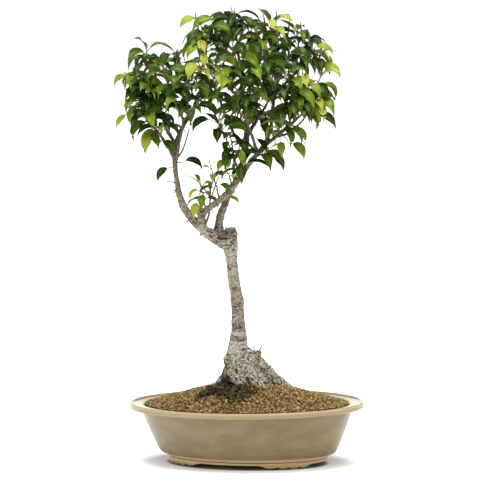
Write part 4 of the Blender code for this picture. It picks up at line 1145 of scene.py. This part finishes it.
def shoot_piece(name, index, path, settled, lone):
    """One shoot: its twig, the lone leaves it bears, its other leaves, and two buds at the tip."""
    bm = bmesh.new()
    layers = [bm.verts.layers.float.new(n) for n in ("across", "along", "youth", "shade", "under")]
    across, along, youth = layers[:3]
    steps = 10
    line = []
    for i in range(steps + 1):
        t = i / steps
        p = bow(path, t)
        kink = 0.8 * MM * math.sin(i * 2.4 + index) * min(t, 1 - t) * 3
        line.append(Vector((p.x + kink, p.y + kink * 0.5, p.z, (1.15 - 0.65 * t) * MM)))
    sweep(bm, line, 8)
    for face in bm.faces:
        face.material_index = 1
    for _, twig, leaf in lone:
        before = set(bm.faces)
        sweep(bm, twig, 6)
        for face in set(bm.faces) - before:
            face.material_index = 1
        add_leaf(bm, layers, leaf)
    for leaf in shoot_leaves(index, name, path, settled):
        add_leaf(bm, layers, leaf)
    dice = random.Random(500 + index)
    for _ in range(2):
        lean = Vector((dice.uniform(-0.5, 0.5), dice.uniform(-0.5, 0.5), 1.0)).normalized()
        tip = path[2] - lean * max(path[2].z - BUD_TOP, 0)
        bud = [tip + lean * up * MM for up in (-1, 1.6, 4.0, 7.5)]
        rings = [Vector((*p, radius * MM)) for p, radius in zip(bud, (0.45, 0.85, 0.6, 0.12))]
        for corner in sweep(bm, rings, 6):
            corner[across] = 0.4
            corner[along] = 0.3
            corner[youth] = 0.86
    return piece("leafy_" + name, bm, leaf_green, twig_skin, sharp=75)


leaf_green = leaf_finish()
limbs = limb_spots()
paths = {}
for region, tips in SHOOT_TIPS.items():
    for number, tip in enumerate(tips, 1):
        paths[f"shoot_{region}_{number}"] = stem_course(Vector(tip) * MM)
lone_leaves = [lone_leaf(number, paths) for number in range(len(LONE_LEAVES))]
settled = []
for _, _, (spot, heading, rise, curl, size, *_) in lone_leaves:
    settled.append(leaf_line(spot, heading, rise, curl, STALK, size)[MIDRIB_MIDDLE][0])
for index, (name, path) in enumerate(paths.items()):
    lone = [leaf for leaf in lone_leaves if leaf[0] == name]
    made = shoot_piece(name, index, path, settled, lone)
    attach(made, "root")
    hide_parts(name)

# ==== Drainage ================================================================================
# Hidden under the soil: a gravel bed of pumice, plastic mesh screens over the two drain holes held
# by bent wire clips, and the aluminium wire that ties the roots down through the base.


def pumice():
    """Pale broken stones, dark between, with fine open pores."""
    finish = Finish("pumice_gravel")
    stone = finish.node("ShaderNodeTexVoronoi", {}, {"Vector": finish.place, "Scale": 260.0})
    pore = finish.noise(1400.0, 3.0)
    tone = finish.mix(stone.rise(0.15, 0.75), (0.50, 0.47, 0.42), (0.17, 0.15, 0.12))
    tone = finish.mix(pore.rise(0.58, 0.70) * 0.6, tone, (0.09, 0.08, 0.07))
    return finish.cover(
        base_color=tone, roughness=0.85 + 0.1 * pore, normal=finish.bump(stone, -0.002, 0.8)
    )


def screen_plastic():
    """Black plastic mesh, scuffed by grit."""
    finish = Finish("screen_plastic")
    scuff = finish.noise(500.0, 3.0)
    tone = finish.mix(scuff.rise(0.45, 0.75), (0.014, 0.014, 0.015), (0.045, 0.043, 0.040))
    return finish.cover(
        base_color=tone, roughness=0.38 + 0.25 * scuff, normal=finish.bump(scuff, 0.0002, 0.4)
    )


def aluminium_wire():
    """Copper-brown anodised aluminium, a little dulled."""
    finish = Finish("anodised_wire", metallic=1.0)
    dull = finish.noise(380.0, 3.0)
    tone = finish.mix(dull, (0.32, 0.20, 0.12), (0.50, 0.36, 0.25))
    return finish.cover(
        base_color=tone, roughness=0.30 + 0.25 * dull, normal=finish.bump(dull, 0.0002, 0.3)
    )


def refinish(names, finish):
    """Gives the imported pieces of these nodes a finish, since they keep their shapes."""
    for name in names:
        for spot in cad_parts[name].material_slots:
            spot.material = finish


refinish(["gravel_layer"], pumice())
refinish(["drain_screen_left", "drain_screen_right"], screen_plastic())
refinish(["anchor_wire", "screen_clip_left", "screen_clip_right"], aluminium_wire())

# ==== Table, light and camera =================================================================
# A white acrylic table with a painted shadow under the pot and a painted glow round it, a white wall
# in even studio light: soft boxes at both sides, over the top and behind, a glow from the ceiling,
# and a long lens that looks a little down on the pot.

FLOOR_SIZE = 60.0
# half the length and half the width of the oval that the pot stands on
POT_STAND = (0.109, 0.061, 1)
FILL = 0.38
WALL_BRIGHTNESS = 1.1
LENS = 181.9
CAMERA_PLACE = (0.0019, -3.0, 0.5145)
CAMERA_PITCH = math.radians(85.5)
CAMERA_ROLL = math.radians(-2.1)


def table_painted_shadow_and_glow():
    """A white acrylic sheet with a painted shadow, a grey oval where the pot stands, and a painted glow
    that grows outward from the oval.
    """
    finish = Finish("white_table_painted_shadow", emission_strength=0.45)
    place = {"Vector": finish.place, "Angle": POT_TURN}
    turned = finish.node("ShaderNodeVectorRotate", {"rotation_type": "Z_AXIS"}, place)
    squeezed = finish.node("ShaderNodeVectorMath", {"operation": "DIVIDE"}, {0: turned, 1: POT_STAND})
    away = finish.node("ShaderNodeVectorMath", {"operation": "LENGTH"}, {0: squeezed}, output="Value")
    # painted shadow: the table is grey inside an oval a little larger than the pot's feet
    under = away.rise(1.01, 0.93)
    return finish.cover(
        base_color=finish.mix(under, (0.96, 0.96, 0.96), (0.20, 0.19, 0.18)),
        roughness=0.9,
        # painted glow: the table glows more the further it is from the pot, which clears the fringe of
        # its shadow
        emission_color=finish.mix(away.rise(1.12, 1.55), (0, 0, 0), (1, 1, 1)),
    )


def softbox(name, place, aim, size, power):
    """A rectangular soft light, hidden from the camera."""
    light = bpy.data.lights.new(name, "AREA")
    light.shape = "RECTANGLE"
    light.size, light.size_y = size
    light.energy = power
    made = bpy.data.objects.new(name, light)
    made.location = place
    made.visible_camera = False
    made.rotation_euler = (Vector(aim) - Vector(place)).to_track_quat("-Z", "Y").to_euler()
    bpy.context.scene.collection.objects.link(made)


bm = bmesh.new()
bmesh.ops.create_grid(bm, x_segments=8, y_segments=8, size=FLOOR_SIZE / 2)
table = piece("table", bm, table_painted_shadow_and_glow())

softbox("left_softbox", (-1.55, -0.85, 0.62), (0, 0, 0.28), (0.5, 0.8), 13)
softbox("right_softbox", (1.6, -0.75, 0.70), (0, 0, 0.28), (0.5, 0.8), 13)
softbox("top_softbox", (0.1, -0.35, 1.65), (0, 0, 0.2), (0.6, 0.5), 12)
softbox("back_softbox", (0.0, 3.7, 0.55), (0, 0, 0.25), (4.2, 1.1), 42)
glow = bpy.data.lights.new("ceiling", "SUN")
glow.energy = 2.8
glow.angle = math.radians(60)
ceiling = bpy.data.objects.new("ceiling", glow)
ceiling.rotation_euler.x = math.radians(15)
bpy.context.scene.collection.objects.link(ceiling)

# the wall is as white as the table to look at, and gives the room a dimmer, even fill
sky = bpy.data.worlds.new("studio")
sky.use_nodes = True
room = Nodes(sky.node_tree)
fill = room.node("ShaderNodeBackground", {}, {"Color": (1, 1, 1), "Strength": FILL})
wall = room.node("ShaderNodeBackground", {}, {"Color": (1, 1, 1), "Strength": WALL_BRIGHTNESS})
seen = room.node("ShaderNodeLightPath", output="Is Camera Ray")
either = room.node("ShaderNodeMixShader", {}, {0: seen, 1: fill, 2: wall})
room.feed(room.tree.nodes["World Output"].inputs["Surface"], either)
bpy.context.scene.world = sky
bpy.context.scene.view_settings.view_transform = "Standard"

lens = bpy.data.cameras.new("camera")
lens.lens = LENS
lens.sensor_width = 36
camera = bpy.data.objects.new("camera", lens)
tilt = Matrix.Rotation(CAMERA_PITCH, 4, "X") @ Matrix.Rotation(CAMERA_ROLL, 4, "Z")
camera.matrix_world = Matrix.Translation(CAMERA_PLACE) @ tilt
bpy.context.scene.collection.objects.link(camera)
bpy.context.scene.camera = camera
